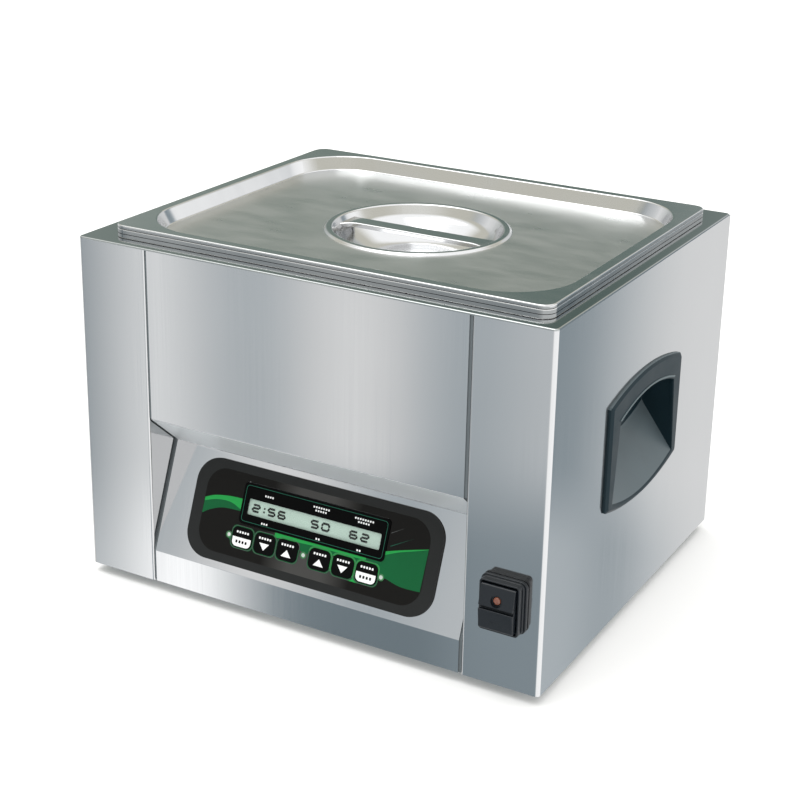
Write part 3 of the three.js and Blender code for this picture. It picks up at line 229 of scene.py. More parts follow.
def loft(name, rings, close=True):
    """A skin through rings of equal point count. Each end is closed by a fan about its middle."""
    count = len(rings[0])
    vertices = [p for ring in rings for p in ring]
    faces = []
    for r in range(len(rings) - 1):
        for i in range(count):
            a, b = r * count + i, r * count + (i + 1) % count
            faces.append((a, b, b + count, a + count))
    if close:
        for r in (0, len(rings) - 1):
            middle = sum((Vector(p) for p in rings[r]), Vector()) / count
            vertices.append(tuple(middle))
            at = len(vertices) - 1
            faces += [(at, r * count + i, r * count + (i + 1) % count) for i in range(count)]
    return new_object(name, vertices, faces)


PLANES = {
    "x": lambda a, b, c: (c, a, b),
    "y": lambda a, b, c: (a, c, b),
    "z": lambda a, b, c: (a, b, c),
}


def prism(name, outline, low, high, axis="z", holes=()):
    """The solid that a flat outline, with holes, sweeps along an axis."""
    shape = bmesh.new()
    edges = []
    for loop in (outline, *holes):
        corners = [shape.verts.new((p[0], p[1], 0)) for p in loop]
        edges += [shape.edges.new(pair) for pair in zip(corners, corners[1:] + corners[:1])]
    bmesh.ops.triangle_fill(shape, edges=edges, use_beauty=True, use_dissolve=not holes)
    swept = bmesh.ops.extrude_face_region(shape, geom=shape.faces[:])
    for part in swept["geom"]:
        if isinstance(part, bmesh.types.BMVert):
            part.co.z = high - low
    for v in shape.verts:
        v.co = Vector(PLANES[axis](v.co.x, v.co.y, v.co.z + low)) * MM
    mesh = bpy.data.meshes.new(name)
    shape.to_mesh(mesh)
    shape.free()
    return turned_out(placed(name, mesh))


def lathe(name, section, steps=48):
    """A solid of revolution about Z from (radius, height) points that start and end on the axis."""
    inner = section[1:-1]
    rings = [[(r * math.cos(t), r * math.sin(t), z) for t in (2 * math.pi * i / steps for i in range(steps))]
             for r, z in inner]
    vertices = [p for ring in rings for p in ring] + [(0, 0, section[0][1]), (0, 0, section[-1][1])]
    faces = []
    for r in range(len(rings) - 1):
        for i in range(steps):
            a, b = r * steps + i, r * steps + (i + 1) % steps
            faces.append((a, b, b + steps, a + steps))
    last = (len(rings) - 1) * steps
    for i in range(steps):
        faces.append((len(vertices) - 2, i, (i + 1) % steps))
        faces.append((len(vertices) - 1, last + i, last + (i + 1) % steps))
    return new_object(name, vertices, faces)


def moved(piece, matrix):
    """Moves a piece's mesh by a matrix whose translation is in millimetres."""
    change = matrix.copy()
    change.translation = change.translation * MM
    piece.data.transform(change)
    return piece


def baked(piece):
    """The piece with its modifiers turned into mesh."""
    bpy.context.view_layer.update()
    mesh = bpy.data.meshes.new_from_object(piece.evaluated_get(bpy.context.evaluated_depsgraph_get()))
    piece.modifiers.clear()
    piece.data = mesh
    return piece


def pierce(piece, cutters):
    for cutter in cutters:
        hole = piece.modifiers.new("hole", "BOOLEAN")
        hole.operation, hole.solver, hole.object = "DIFFERENCE", "EXACT", cutter
    baked(piece)
    for cutter in cutters:
        bpy.data.objects.remove(cutter)
    return piece


def bevel(piece, width, segments=3, angle=30):
    edge = piece.modifiers.new("edge", "BEVEL")
    edge.width, edge.segments, edge.limit_method = width * MM, segments, "ANGLE"
    edge.angle_limit = math.radians(angle)
    edge.use_clamp_overlap = True
    return baked(piece)


def finished(piece, body, slot, material, *nodes, angle=32):
    """Shades a piece, rides it on its body and hides the CAD nodes it stands for."""
    soften(piece, angle)
    weighted = piece.modifiers.new("flat_faces_first", "WEIGHTED_NORMAL")
    weighted.weight, weighted.keep_sharp = 100, True
    piece.data.materials.clear()
    piece.data.materials.append(material)
    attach(piece, body)
    if nodes:
        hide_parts(*nodes)
    return piece


def repainted(piece, material, chosen):
    """A second material on the faces that chosen picks by their normal and middle."""
    piece.data.materials.append(material)
    for face in piece.data.polygons:
        if chosen(face.normal, face.center / MM):
            face.material_index = 1


# ---------------------------------------------------------------- materials


class Shader:
    """A node material with one Principled shader, and short ways to wire it."""

    def __init__(self, name, color, roughness, metallic=0.0, **sockets):
        self.material = bpy.data.materials.new(name)
        self.material.use_nodes = True
        self.tree = self.material.node_tree
        self.shader = self.tree.nodes["Principled BSDF"]
        self.set("Base Color", (*color, 1))
        self.set("Roughness", roughness)
        self.set("Metallic", metallic)
        for key, value in sockets.items():
            self.set(key.replace("_", " "), value)

    def set(self, socket, value):
        self.shader.inputs[socket].default_value = value

    def node(self, kind, **values):
        made = self.tree.nodes.new("ShaderNode" + kind)
        for key, value in values.items():
            if hasattr(made, key):
                setattr(made, key, value)
            else:
                made.inputs[key.replace("_", " ")].default_value = value
        return made

    def link(self, source, target):
        self.tree.links.new(source, target)

    def stretched(self, scale):
        """Object coordinates squeezed by scale, for grain that runs one way."""
        place = self.node("TexCoord")
        mapping = self.node("Mapping")
        mapping.inputs["Scale"].default_value = scale
        self.link(place.outputs["Object"], mapping.inputs["Vector"])
        return mapping.outputs["Vector"]

    def noise(self, scale, detail=3.0, grain=(1, 1, 1)):
        made = self.node("TexNoise", Scale=scale, Detail=detail, Roughness=0.5)
        self.link(self.stretched(grain), made.inputs["Vector"])
        return made.outputs["Fac"]

    def ranged(self, value, low, high, start=0.3, end=0.7):
        made = self.node("MapRange")
        made.inputs["From Min"].default_value, made.inputs["From Max"].default_value = start, end
        made.inputs["To Min"].default_value, made.inputs["To Max"].default_value = low, high
        self.link(value, made.inputs["Value"])
        return made.outputs["Result"]

    def bump(self, value, distance, strength=1.0):
        made = self.node("Bump", Strength=strength, Distance=distance)
        self.link(value, made.inputs["Height"])
        self.link(made.outputs["Normal"], self.shader.inputs["Normal"])

    def tint(self, value, dark, light):
        made = self.node("ValToRGB")
        made.color_ramp.elements[0].color = (*dark, 1)
        made.color_ramp.elements[1].color = (*light, 1)
        made.color_ramp.elements[0].position, made.color_ramp.elements[1].position = 0.3, 0.7
        self.link(value, made.inputs["Fac"])
        self.link(made.outputs["Color"], self.shader.inputs["Base Color"])


FILM_GRAIN = 1400.0


def brushed_steel(name, color, roughness, grain, spread=0.015):
    """Stainless sheet whose fine grain runs along the axis with the small scale."""
    made = Shader(name, color, roughness, 1.0)
    lines = made.noise(1.0, 4.0, grain)
    made.link(made.ranged(lines, roughness - spread, roughness + spread), made.shader.inputs["Roughness"])
    clouds = made.noise(9.0, 2.0)
    made.tint(clouds, tuple(c * 0.965 for c in color), color)
    made.bump(lines, 0.00001, 0.05)
    return made.material


def polished_steel(name, color, roughness):
    """Drawn sheet with a faint orange-peel and soft wiping marks."""
    made = Shader(name, color, roughness, 1.0)
    marks = made.noise(26.0, 5.0, (1, 2.5, 1))
    made.link(made.ranged(marks, roughness - 0.03, roughness + 0.05), made.shader.inputs["Roughness"])
    made.bump(made.noise(11.0, 1.0), 0.0004, 0.08)
    return made.material


def moulded_plastic(name, color, roughness, shine, pebble=0.00002, scale=900.0):
    made = Shader(name, color, roughness, Specular_IOR_Level=shine)
    clouds = made.noise(40.0)
    made.tint(clouds, tuple(c * 0.86 for c in color), color)
    made.link(made.ranged(clouds, roughness - 0.05, roughness + 0.06), made.shader.inputs["Roughness"])
    made.bump(made.noise(scale, 2.0), pebble, 0.6)
    return made.material


def printed_film(name, color, roughness, shine):
    made = Shader(name, color, roughness, Specular_IOR_Level=shine)
    made.tint(made.noise(30.0), tuple(c * 0.92 for c in color), color)
    made.bump(made.noise(FILM_GRAIN, 1.0), 0.00001, 0.5)
    return made.material


def sheen_painted_film(name, color, sheen, roughness, shine):
    """Printed film with a painted sheen: a soft lighter fade toward the middle of its length stands in for a
    reflection.
    """
    made = Shader(name, color, roughness, Specular_IOR_Level=shine)
    across = made.node("SeparateXYZ")
    made.link(made.stretched((1, 1, 1)), across.inputs[0])
    from_middle = made.node("Math", operation="ABSOLUTE")
    made.link(across.outputs["X"], from_middle.inputs[0])
    made.tint(made.ranged(from_middle.outputs[0], 0.95, 0.1, 0.0, 0.045), color, sheen)
    made.bump(made.noise(FILM_GRAIN, 1.0), 0.00001, 0.5)
    return made.material


STEEL = (0.56, 0.565, 0.57)
STEEL_SIDE = brushed_steel("side_steel", STEEL, 0.09, (1500, 1500, 9))
STEEL_FRONT = brushed_steel("front_steel", STEEL, 0.08, (1500, 9, 9))
# A brighter, less metallic copy of the steel: a painted highlight for the chamfer.
STEEL_PAINTED_HIGHLIGHT = Shader("chamfer_painted_highlight", (0.62, 0.65, 0.67), 0.42, 0.4).material
# A darker copy of the casing steel: painted shade on the deck, also used on the base plate.
STEEL_DECK_PAINTED_SHADE = brushed_steel("deck_steel_painted_shade", (0.38, 0.40, 0.40), 0.08, (9, 1500, 1500))
LID_STEEL = polished_steel("lid_steel", STEEL, 0.13)
# A rougher copy of the lid steel whose darker, greener tone is painted shade on the tray's flat faces.
TRAY_STEEL_PAINTED_SHADE = polished_steel("tray_steel_painted_shade", (0.50, 0.51, 0.50), 0.30)
# A dark steel for the strips behind the grooves: painted shade for the grooves' depth.
GROOVE_PAINTED_SHADE = Shader("groove_painted_shade", (0.13, 0.15, 0.16), 0.5, 0.3).material
TANK_STEEL = polished_steel("tank_steel", STEEL, 0.12)
PUNCHED_STEEL = brushed_steel("punched_steel", STEEL, 0.25, (8, 1200, 1200))
SCREW_STEEL = polished_steel("screw_steel", (0.60, 0.61, 0.62), 0.2)
GRIP_PLASTIC = moulded_plastic("grip_plastic", (0.0075, 0.020, 0.027), 0.42, 0.16)
# A lighter copy of the grip plastic: painted light on the pocket's upward faces.
GRIP_SCOOP_PAINTED_LIGHT = moulded_plastic("grip_scoop_painted_light", (0.085, 0.112, 0.125), 0.45, 0.4)
# A lighter plastic for the strip on the pocket's upper lip: a painted highlight.
GRIP_LIP_PAINTED_HIGHLIGHT = moulded_plastic("grip_lip_painted_highlight", (0.075, 0.105, 0.115), 0.4, 0.4)
SWITCH_PLASTIC = moulded_plastic("switch_plastic", (0.007, 0.010, 0.014), 0.30, 0.36)
TECHNICAL_PLASTIC = moulded_plastic("technical_plastic", (0.012, 0.012, 0.013), 0.5, 0.4)
FOOT_RUBBER = moulded_plastic("foot_rubber", (0.012, 0.012, 0.013), 0.75, 0.3, 0.00008, 500.0)
GASKET_RUBBER = moulded_plastic("gasket_rubber", (0.05, 0.05, 0.05), 0.7, 0.3)
LEAD_RUBBER = moulded_plastic("lead_rubber", (0.014, 0.014, 0.015), 0.6, 0.4)
HEATER_SILICONE = moulded_plastic("heater_silicone", (0.45, 0.12, 0.04), 0.65, 0.4, 0.0001, 300.0)
OVERLAY_EDGE = printed_film("overlay_edge", (0.017, 0.018, 0.018), 0.42, 0.15)
# The inner field gets a painted sheen, lighter toward its middle.
OVERLAY_INNER = sheen_painted_film("overlay_inner", (0.0055, 0.0050, 0.0042), (0.052, 0.051, 0.049), 0.32, 0.12)
OVERLAY_GREEN = printed_film("overlay_green", (0.0, 0.095, 0.026), 0.4, 0.2)
OVERLAY_LIME = printed_film("overlay_lime", (0.012, 0.29, 0.055), 0.4, 0.2)
PRINT_WHITE = printed_film("print_white", (0.85, 0.86, 0.86), 0.4, 0.3)
PRINT_GREY = printed_film("print_grey", (0.085, 0.09, 0.09), 0.45, 0.15)
PRINT_TEAL = printed_film("print_teal", (0.008, 0.10, 0.06), 0.4, 0.2)
KEY_BLACK = printed_film("key_black", (0.001, 0.001, 0.001), 0.3, 0.08)
BEZEL_BLACK = printed_film("bezel_black", (0.0008, 0.0008, 0.0008), 0.25, 0.06)
LCD_PANEL = printed_film("lcd_panel", (0.43, 0.56, 0.49), 0.5, 0.2)
LCD_INK = printed_film("lcd_ink", (0.004, 0.008, 0.006), 0.5, 0.1)
LAMP_WHITE = moulded_plastic("lamp_white", (0.55, 0.58, 0.56), 0.2, 0.4)
AMBER = Shader("amber_lens", (0.17, 0.055, 0.03), 0.22, Coat_Weight=0.5, Coat_Roughness=0.1).material
CLEAR = Shader("display_window", (0.9, 0.95, 0.93), 0.06, Alpha=0.02, Specular_IOR_Level=0.1).material
FUSE_GLASS = Shader("fuse_glass", (0.8, 0.84, 0.84), 0.08, Alpha=0.35).material
ALUMINIUM = brushed_steel("mill_aluminium", (0.66, 0.67, 0.68), 0.35, (30, 700, 30))
FELT = moulded_plastic("glass_felt", (0.70, 0.68, 0.60), 0.95, 0.2, 0.0006, 160.0)
BOARD = moulded_plastic("board_green", (0.012, 0.10, 0.035), 0.4, 0.4, 0.00005, 250.0)
CORE = brushed_steel("core_steel", (0.22, 0.22, 0.23), 0.45, (20, 1200, 20))
BRASS = polished_steel("pin_metal", (0.62, 0.50, 0.26), 0.25)


# ---------------------------------------------------------------- camera, light and floor

# The camera looks down on the front from the right. Its place is measured from the middle of the
# casing's footprint on the floor. The lens length and shift are in widths of the sensor.
CAMERA_PLACE = Vector((545.8, -996.0, 573.4))
CAMERA_YAW, CAMERA_PITCH, CAMERA_ROLL = 29.2, 19.81, 1.1
CAMERA_FOCUS = 2.123
CAMERA_SHIFT = -0.075
SENSOR = 36.0


def add_camera():
    data = bpy.data.cameras.new("camera")
    data.sensor_width = SENSOR
    data.lens = CAMERA_FOCUS * SENSOR
    data.shift_y = CAMERA_SHIFT
    data.clip_start, data.clip_end = 0.05, 20
    camera = placed("camera", data)
    yaw, pitch, roll = (math.radians(a) for a in (CAMERA_YAW, CAMERA_PITCH, CAMERA_ROLL))
    forward = Vector((-math.sin(yaw) * math.cos(pitch), math.cos(yaw) * math.cos(pitch), -math.sin(pitch)))
    right = forward.cross(Vector((0, 0, 1))).normalized()
    up = right.cross(forward)
    across = math.cos(roll) * right + math.sin(roll) * up
    above = -math.sin(roll) * right + math.cos(roll) * up
    turn = Matrix((across, above, -forward)).transposed().to_4x4()
    place = Vector((deck.mid.x, deck.mid.y, 0)) + CAMERA_PLACE
    camera.matrix_world = Matrix.Translation(place * MM) @ turn
    bpy.context.scene.camera = camera


def add_area(name, place, target, size, power):
    data = bpy.data.lights.new(name, "AREA")
    data.shape, data.size, data.size_y = "RECTANGLE", *size
    data.energy = power
    light = placed(name, data)
    light.location = place
    light.rotation_euler = (Vector(target) - Vector(place)).to_track_quat("-Z", "Y").to_euler()


def add_floor():
    """A plain white sweep. The steel mirrors the studio round it, not this sheet."""
    floor = prism("floor", rounded_rectangle(60000, 60000, 100), -2, 0)
    paper = Shader("floor_paper", (0.93, 0.93, 0.93), 0.9)
    paper.set("Specular IOR Level", 0.1)
    floor.data.materials.append(paper.material)
    floor.visible_glossy = False


# The studio round the object: pale walls with darker gaps between them. Bearings are in degrees
# from the front (-Y) toward the left (-X), each with the wall's brightness there. The stops are
# set for the bands that the steel mirrors.
WALLS = [
    (-180, 0.95), (-160.0, 1.05), (-159.4, 0.93), (-158.6, 0.68), (-157.9, 0.46), (-157.2, 0.38),
    (-155, 0.42), (-150, 0.5), (-146, 1.4), (-130, 1.6), (-20, 1.5), (0, 0.9), (24.6, 0.84),
    (25.4, 0.72), (26.5, 0.57), (28, 0.74), (29.4, 1.03), (30.8, 1.22), (32.2, 1.04), (33.6, 0.74),
    (34.7, 0.64), (36.5, 0.91), (38.6, 1.5), (39.0, 1.2), (39.4, 0.88), (39.8, 0.6), (40.2, 0.40),
    (46, 0.38), (90, 1.2), (145, (0.27, 0.33, 0.30)), (158, (0.17, 0.23, 0.21)), (180, 0.95),
]
LOW_WALLS = [
    (-180, 0.95), (-161.0, 1.05), (-160.3, 0.8), (-159.7, 0.5), (-159.0, 0.36), (-158.2, 0.5),
    (-157.6, 0.7), (-150, 0.7), (-130, 1.6), (-20, 1.5), (0, 0.5), (25, 0.42), (26.6, 0.42),
    (27.4, 0.31), (33.0, 0.31), (34.1, 0.45), (34.9, 0.8), (35.7, 1.4), (36.4, 1.9), (37.9, 1.9),
    (38.8, 1.3), (40.2, 0.7), (60, 1.0), (180, 0.95),
]
COVE = (0.85, 0.83, 0.73)  # the warmer band between the walls and the ceiling
CEILING = 1.6
BRIGHTEST = 2.0


def add_world():
    world = bpy.data.worlds.new("studio")
    bpy.context.scene.world = world
    world.use_nodes = True
    tree = world.node_tree

    def node(kind, *inputs, **settings):
        made = tree.nodes.new("ShaderNode" + kind)
        for key, value in settings.items():
            setattr(made, key, value)
        for i, value in enumerate(inputs):
            if isinstance(value, bpy.types.NodeSocket):
                tree.links.new(value, made.inputs[i])
            elif value is not None:
                made.inputs[i].default_value = value
        return made

    def walls(stops, bearing):
        made = node("ValToRGB", bearing)
        elements = made.color_ramp.elements
        for i, (degrees, bright) in enumerate(stops):
            if 0 < i < len(stops) - 1:
                element = elements.new((degrees + 180) / 360)
            else:
                element = elements[0 if i == 0 else -1]
            if isinstance(bright, float):
                cool = max(0, 1 - bright)
                bright = (bright * (1 - 0.28 * cool), bright, bright * (1 + 0.17 * cool))
            element.color = (*(level / BRIGHTEST for level in bright), 1)
        return made.outputs["Color"]

    direction = node("SeparateXYZ", node("TexCoord").outputs["Generated"]).outputs
    west = node("Math", direction["X"], -1.0, operation="MULTIPLY").outputs[0]
    south = node("Math", direction["Y"], -1.0, operation="MULTIPLY").outputs[0]
    turn = node("Math", west, south, operation="ARCTAN2").outputs[0]
    bearing = node("MapRange", turn, -math.pi, math.pi, 0.0, 1.0).outputs["Result"]
    level, low = walls(WALLS, bearing), walls(LOW_WALLS, bearing)
    above_low = node("MapRange", direction["Z"], -0.445, -0.405, 0.0, 1.0).outputs["Result"]
    in_cove = node("MapRange", direction["Z"], 0.40, 0.47, 0.0, 1.0).outputs["Result"]
    overhead = node("MapRange", direction["Z"], 0.60, 0.74, 0.0, 1.0).outputs["Result"]
    walled = node("MixRGB", above_low, low, level).outputs["Color"]
    cove = tuple(c / BRIGHTEST for c in COVE) + (1,)
    round_about = node("MixRGB", in_cove, walled, cove).outputs["Color"]
    white = (CEILING / BRIGHTEST,) * 3 + (1,)
    everything = node("MixRGB", overhead, round_about, white).outputs["Color"]
    tree.links.new(everything, tree.nodes["Background"].inputs["Color"])
    tree.nodes["Background"].inputs["Strength"].default_value = BRIGHTEST


add_camera()
add_world()
add_floor()
add_area("top_light", (-0.5, -0.4, 2.6), (0, 0, 0.1), (1.8, 1.8), 27)
bpy.context.scene.view_settings.view_transform = "Standard"

# ---------------------------------------------------------------- pressed lid and tank


def reach(bearing, half_length, half_depth, radius):
    """A rounded rectangle's distance from its middle in one direction."""
    c, s = abs(math.cos(bearing)), abs(math.sin(bearing))
    straight = min(half_length / max(c, 1e-9), half_depth / max(s, 1e-9))
    x, y = half_length - radius, half_depth - radius
    if straight * c <= x or straight * s <= y:
        return straight
    along = c * x + s * y
    return along + math.sqrt(max(radius * radius - (x * x + y * y - along * along), 0))


def corner_bearings(insets):
    """Directions that catch the corner arcs of outlines given as (inset, corner radius)."""
    half_length, half_depth = lid_box.size.x / 2, lid_box.size.y / 2
    turns = [i * math.pi / 2 / 18 for i in range(19)]
    for inset, radius in insets:
        for i in range(13):
            t = i * math.pi / 24
            x = half_length - inset - radius + radius * math.cos(t)
            y = half_depth - inset - radius + radius * math.sin(t)
            turns.append(math.atan2(y, x))
    turns.sort()
    kept = [t for i, t in enumerate(turns) if i == 0 or t - turns[i - 1] > 0.004]
    half = kept + [math.pi - t for t in reversed(kept[:-1])]
    return half + [math.pi + t for t in half[1:-1]]


PRESS_BEARINGS = corner_bearings([(0, RIM_CORNER), (TRAY_LEDGE, TRAY_CORNER)])


def press_ring(point, level):
    """One ring of a pressed sheet: ("round", radius) or ("square", inset, corner radius)."""
    half_length, half_depth = lid_box.size.x / 2, lid_box.size.y / 2
    ring = []
    for bearing in PRESS_BEARINGS:
        if point[0] == "round":
            far = point[1]
        else:
            far = reach(bearing, half_length - point[1], half_depth - point[1], max(point[2], 0.4))
        ring.append((lid_box.mid.x + far * math.cos(bearing), lid_box.mid.y + far * math.sin(bearing), level))
    return ring


def pressed(name, inner, outer, corner_at, thickness):
    """A pressed sheet: a round path (radius, z) from the middle, then a path (inset, z) to the rim."""
    half_depth = lid_box.size.y / 2
    path = [(r, z) for r, z in inner] + [(half_depth - inset, z) for inset, z in outer]
    under = beside(path, -thickness)

    def rings(points):
        made = []
        for i, (far, z) in enumerate(points):
            if i < len(inner):
                made.append(press_ring(("round", far), z))
            else:
                inset = half_depth - far
                made.append(press_ring(("square", inset, corner_at(inset)), z))
        return made

    return loft(name, rings(path) + rings(under)[::-1])


def add_lid():
    top = lid_box.high.z
    tray = top - TRAY_SINK
    dish = rounded_path([(6, tray - DISH_SINK, 0), (34, tray - DISH_SINK, 26),
                         (DISH_RADIUS - 5, tray - 8, 12), (DISH_RADIUS, tray + DISH_BEAD_HEIGHT, 1.6),
                         (DISH_RADIUS + DISH_BEAD * 0.72, tray + DISH_BEAD_HEIGHT, 1.6),
                         (DISH_RADIUS + DISH_BEAD, tray, 1.2), (DISH_RADIUS + DISH_BEAD + 4, tray, 0)], 7)
    foot = TRAY_LEDGE + TRAY_WALL
    rim = rounded_path([(foot + 9, tray, 0), (foot, tray, 1.4), (TRAY_LEDGE, top, 1.3),
                        (TRAY_LEDGE - 1.6, top, 0.3), (0, top, 1.0), (0, top - 2.4, 0)], 7)

    def corner_at(inset):
        if inset > 1.6:
            return TRAY_CORNER + TRAY_LEDGE - inset
        return RIM_CORNER - inset

    lid = pressed("lid_pressing", dish, rim, corner_at, PAN_SHEET)
    finished(lid, "lid", "polished_steel", LID_STEEL, "lid", angle=50)
    # The tray's flat faces get the rougher steel copy; its darker tone is painted shade.
    repainted(lid, TRAY_STEEL_PAINTED_SHADE, lambda normal, middle: normal.z > 0.99 and abs(middle.z - tray) < 0.2)


def add_tank():
    rim_top, floor = tank_box.high.z, tank_box.low.z + PAN_SHEET
    depth = rim_top - floor
    wall_foot = RIM_LEDGE + 1.9 + TANK_DRAFT
    rim = rounded_path([(wall_foot + 50, floor, 0), (wall_foot, floor, TANK_FLOOR_RADIUS),
                        (RIM_LEDGE + 1.9, rim_top - 8, 4), (RIM_LEDGE, rim_top, 1.4), (0, rim_top, 0.8),
                        (0, TOP + 0.2, 0)], 8)

    def corner_at(inset):
        if inset > 1.6:
            return max(TANK_CORNER + RIM_LEDGE - inset, 6)
        return RIM_CORNER - inset

    tank = pressed("tank_drawing", [(8, floor - 0.6)], rim, corner_at, PAN_SHEET)
    finished(tank, BODY, "polished_steel", TANK_STEEL, "tank", angle=50)


def add_handle_bar():
    bar = Span("lid_handle_bar")
    half, top = bar.size.y / 2, bar.high.z
    edge = [(half, top, 1.0), (half, top - 3.3, 0.5), (half - 1.4, top - 3.4, 0.4), (half - 2.4, top - 2.3, 0)]
    far_edge = [(-y, z, fillet) for y, z, fillet in reversed(edge)]
    section = rounded_path([*far_edge, (0, top + 0.05, 30), *edge], 4)
    stations = [-57.2, -56, -53, -50, -46, -40, -20, 0, 20, 40, 46, 50, 53, 56, 57.2]
    rings = []
    for x in stations:
        flare = max(abs(x) - 44, 0) / 13
        wide, dip = 1 + 0.55 * flare ** 2, 1.0 * flare ** 2
        rings.append([(bar.mid.x + x, bar.mid.y + y * wide, z - dip) for y, z in section])
    finished(loft("lid_bar_strip", rings), "lid", "polished_steel", LID_STEEL, "lid_handle_bar", angle=50)


add_lid()
add_tank()
add_handle_bar()

# ---------------------------------------------------------------- casing

GRIP_MIDDLE = BOTTOM + 127.5
GRIP_Y = Span("right_grip").mid.y


def arch(grow, top_width, bottom_width, top, bottom, fillet, steps=14):
    """The grip's outline: straight leaning sides, arched top and bottom, small rounded corners."""
    high, low = top + grow, bottom - grow
    upper, lower = top_width / 2 + grow, bottom_width / 2 + grow
    lean = (upper - lower) / (high - low)
    across = [-1 + 2 * i / steps for i in range(steps + 1)]
    floor = [((lower - fillet) * t, low - GRIP_ARCH * (1 - t * t)) for t in across]
    roof = [((upper - fillet) * t, high + GRIP_ARCH * (1 - t * t)) for t in reversed(across)]
    right = [(lower - fillet * 0.3, low + fillet * 0.3), (lower + lean * fillet, low + fillet)]
    for i in range(1, 6):
        z = low + fillet + (high - low - 2 * fillet) * i / 5
        right.append((lower + lean * (z - low), z))
    right.append((upper - fillet * 0.3, high - fillet * 0.3))
    return floor + right + roof + [(-x, z) for x, z in reversed(right)]


def on_grip(outline):
    return [(y + GRIP_Y, z + GRIP_MIDDLE) for y, z in outline]


def add_side(hand):
    """One side panel: the side wall, the rounded front edge, the front column and its return."""
    path = rounded_path([(SIDE, BACK, 0), (SIDE, FRONT, 3.0), (COLUMN_EDGE, FRONT, 1.5),
                         (COLUMN_EDGE, FRONT + RETURN_DEPTH, 0)], 10)
    section = path + beside(path, -SHEET)[::-1]
    name = "right_side" if hand > 0 else "left_side"
    side = prism(name + "_sheet", section, BOTTOM, DECK_UNDERSIDE)
    relief = prism("relief", rounded_rectangle(8, 40, 1, (COLUMN_EDGE, FRONT + RETURN_TOP_DEPTH + 20)),
                   RECESS_TOP + RETURN_ABOVE_RECESS, WALL_TOP + 5)
    opening = arch(-6, GRIP_WIDTH, GRIP_WIDTH, GRIP_EDGE / 2, -GRIP_EDGE / 2, 2)
    grip_hole = prism("grip_hole", on_grip(opening), SIDE - 5, SIDE + 5, "x")
    cutters = [relief, grip_hole]
    if hand > 0:
        bezel = Span("switch_bezel")
        spot = (bezel.mid.x, bezel.mid.z)
        cutters.append(prism("switch_hole", rounded_rectangle(26, 33, 1, spot), FRONT - 5, FRONT + 5, "y"))
    pierce(side, cutters)
    finished(mirrored(side, hand), BODY, "casing_steel", STEEL_SIDE, name + "_panel")


def add_front():
    corners = [(FRONT, DECK_UNDERSIDE, 0), (FRONT, RECESS_TOP, 1.3), (FRONT + CONSOLE_SINK, INNER_FOLD, 1.4),
               (FRONT, SKIRT_TOP, 2.2), (FRONT, BOTTOM + 0.4, 0)]
    path = rounded_path(corners, 6)
    section = path + beside(path, SHEET)[::-1]
    front = prism("front_sheet", section, LEFT_EDGE, RIGHT_EDGE, "x")
    well = prism("well", rounded_rectangle(150, 46, 2, (0, 38)), -6, 4)
    pierce(front, [moved(well, CONSOLE)])
    finished(front, BODY, "casing_steel", STEEL_FRONT, "front_panel")
    # The chamfer faces get the brighter steel copy: a painted highlight where the chamfer catches light.
    repainted(front, STEEL_PAINTED_HIGHLIGHT,
              lambda normal, middle: normal.z < -0.5 and INNER_FOLD < middle.z < RECESS_TOP)
    # Dark strips behind the two grooves paint the shade in the grooves' depth.
    back_path = beside(path, GROOVE_SINK)
    backing = back_path + beside(back_path, 0.6)[::-1]
    wide = GROOVE_WIDTH - 2 * GROOVE_GAP
    for hand, low in (("left", LEFT_EDGE - GROOVE_GAP - wide), ("right", RIGHT_EDGE + GROOVE_GAP)):
        strip = prism(f"{hand}_groove_backing", backing, low, low + wide, "x")
        finished(strip, BODY, "casing_steel", GROOVE_PAINTED_SHADE)


def add_deck():
    middle = (lid_box.mid.x, lid_box.mid.y)
    length, depth = lid_box.size.x - 2 * DECK_LAP, lid_box.size.y - 2 * DECK_LAP
    opening = rounded_rectangle(length, depth, TANK_CORNER, middle, 16)
    half_x, half_y = deck.size.x / 2, deck.size.y / 2
    edge = rounded_path([(4, TOP, 0), (0, TOP, 1.1), (0, DECK_UNDERSIDE + 0.02, 0)], 6)
    rings = []
    for inset_at, z in edge + [(SHEET, DECK_UNDERSIDE + 0.02), (4, TOP - SHEET)]:
        outline = rounded_rectangle(2 * (half_x - inset_at), 2 * (half_y - inset_at),
                                    max(3.0 - inset_at, 0.5), (deck.mid.x, deck.mid.y), 6)
        rings.append([(x, y, z) for x, y in outline])
    skin = loft("deck_sheet", rings, close=False)
    count, hole_rims = len(rings[0]), []
    with reshaping(skin.data) as shape:
        corners = list(shape.verts)
        for start, level in ((0, TOP), ((len(rings) - 1) * count, TOP - SHEET)):
            border = corners[start:start + count]
            hole = [shape.verts.new((x * MM, y * MM, level * MM)) for x, y in opening]
            edges = [shape.edges.get(pair) or shape.edges.new(pair)
                     for pair in zip(border, border[1:] + border[:1])]
            edges += [shape.edges.new(pair) for pair in zip(hole, hole[1:] + hole[:1])]
            bmesh.ops.triangle_fill(shape, edges=edges, use_beauty=True)
            hole_rims.append(hole)
        upper, lower = hole_rims
        for corner_loop in zip(upper, upper[1:] + upper[:1], lower[1:] + lower[:1], lower):
            shape.faces.new(corner_loop)
    finished(skin, BODY, "casing_steel", STEEL_DECK_PAINTED_SHADE, "top_deck")


add_side(1)
add_side(-1)
add_front()
add_deck()


# ---------------------------------------------------------------- side grips


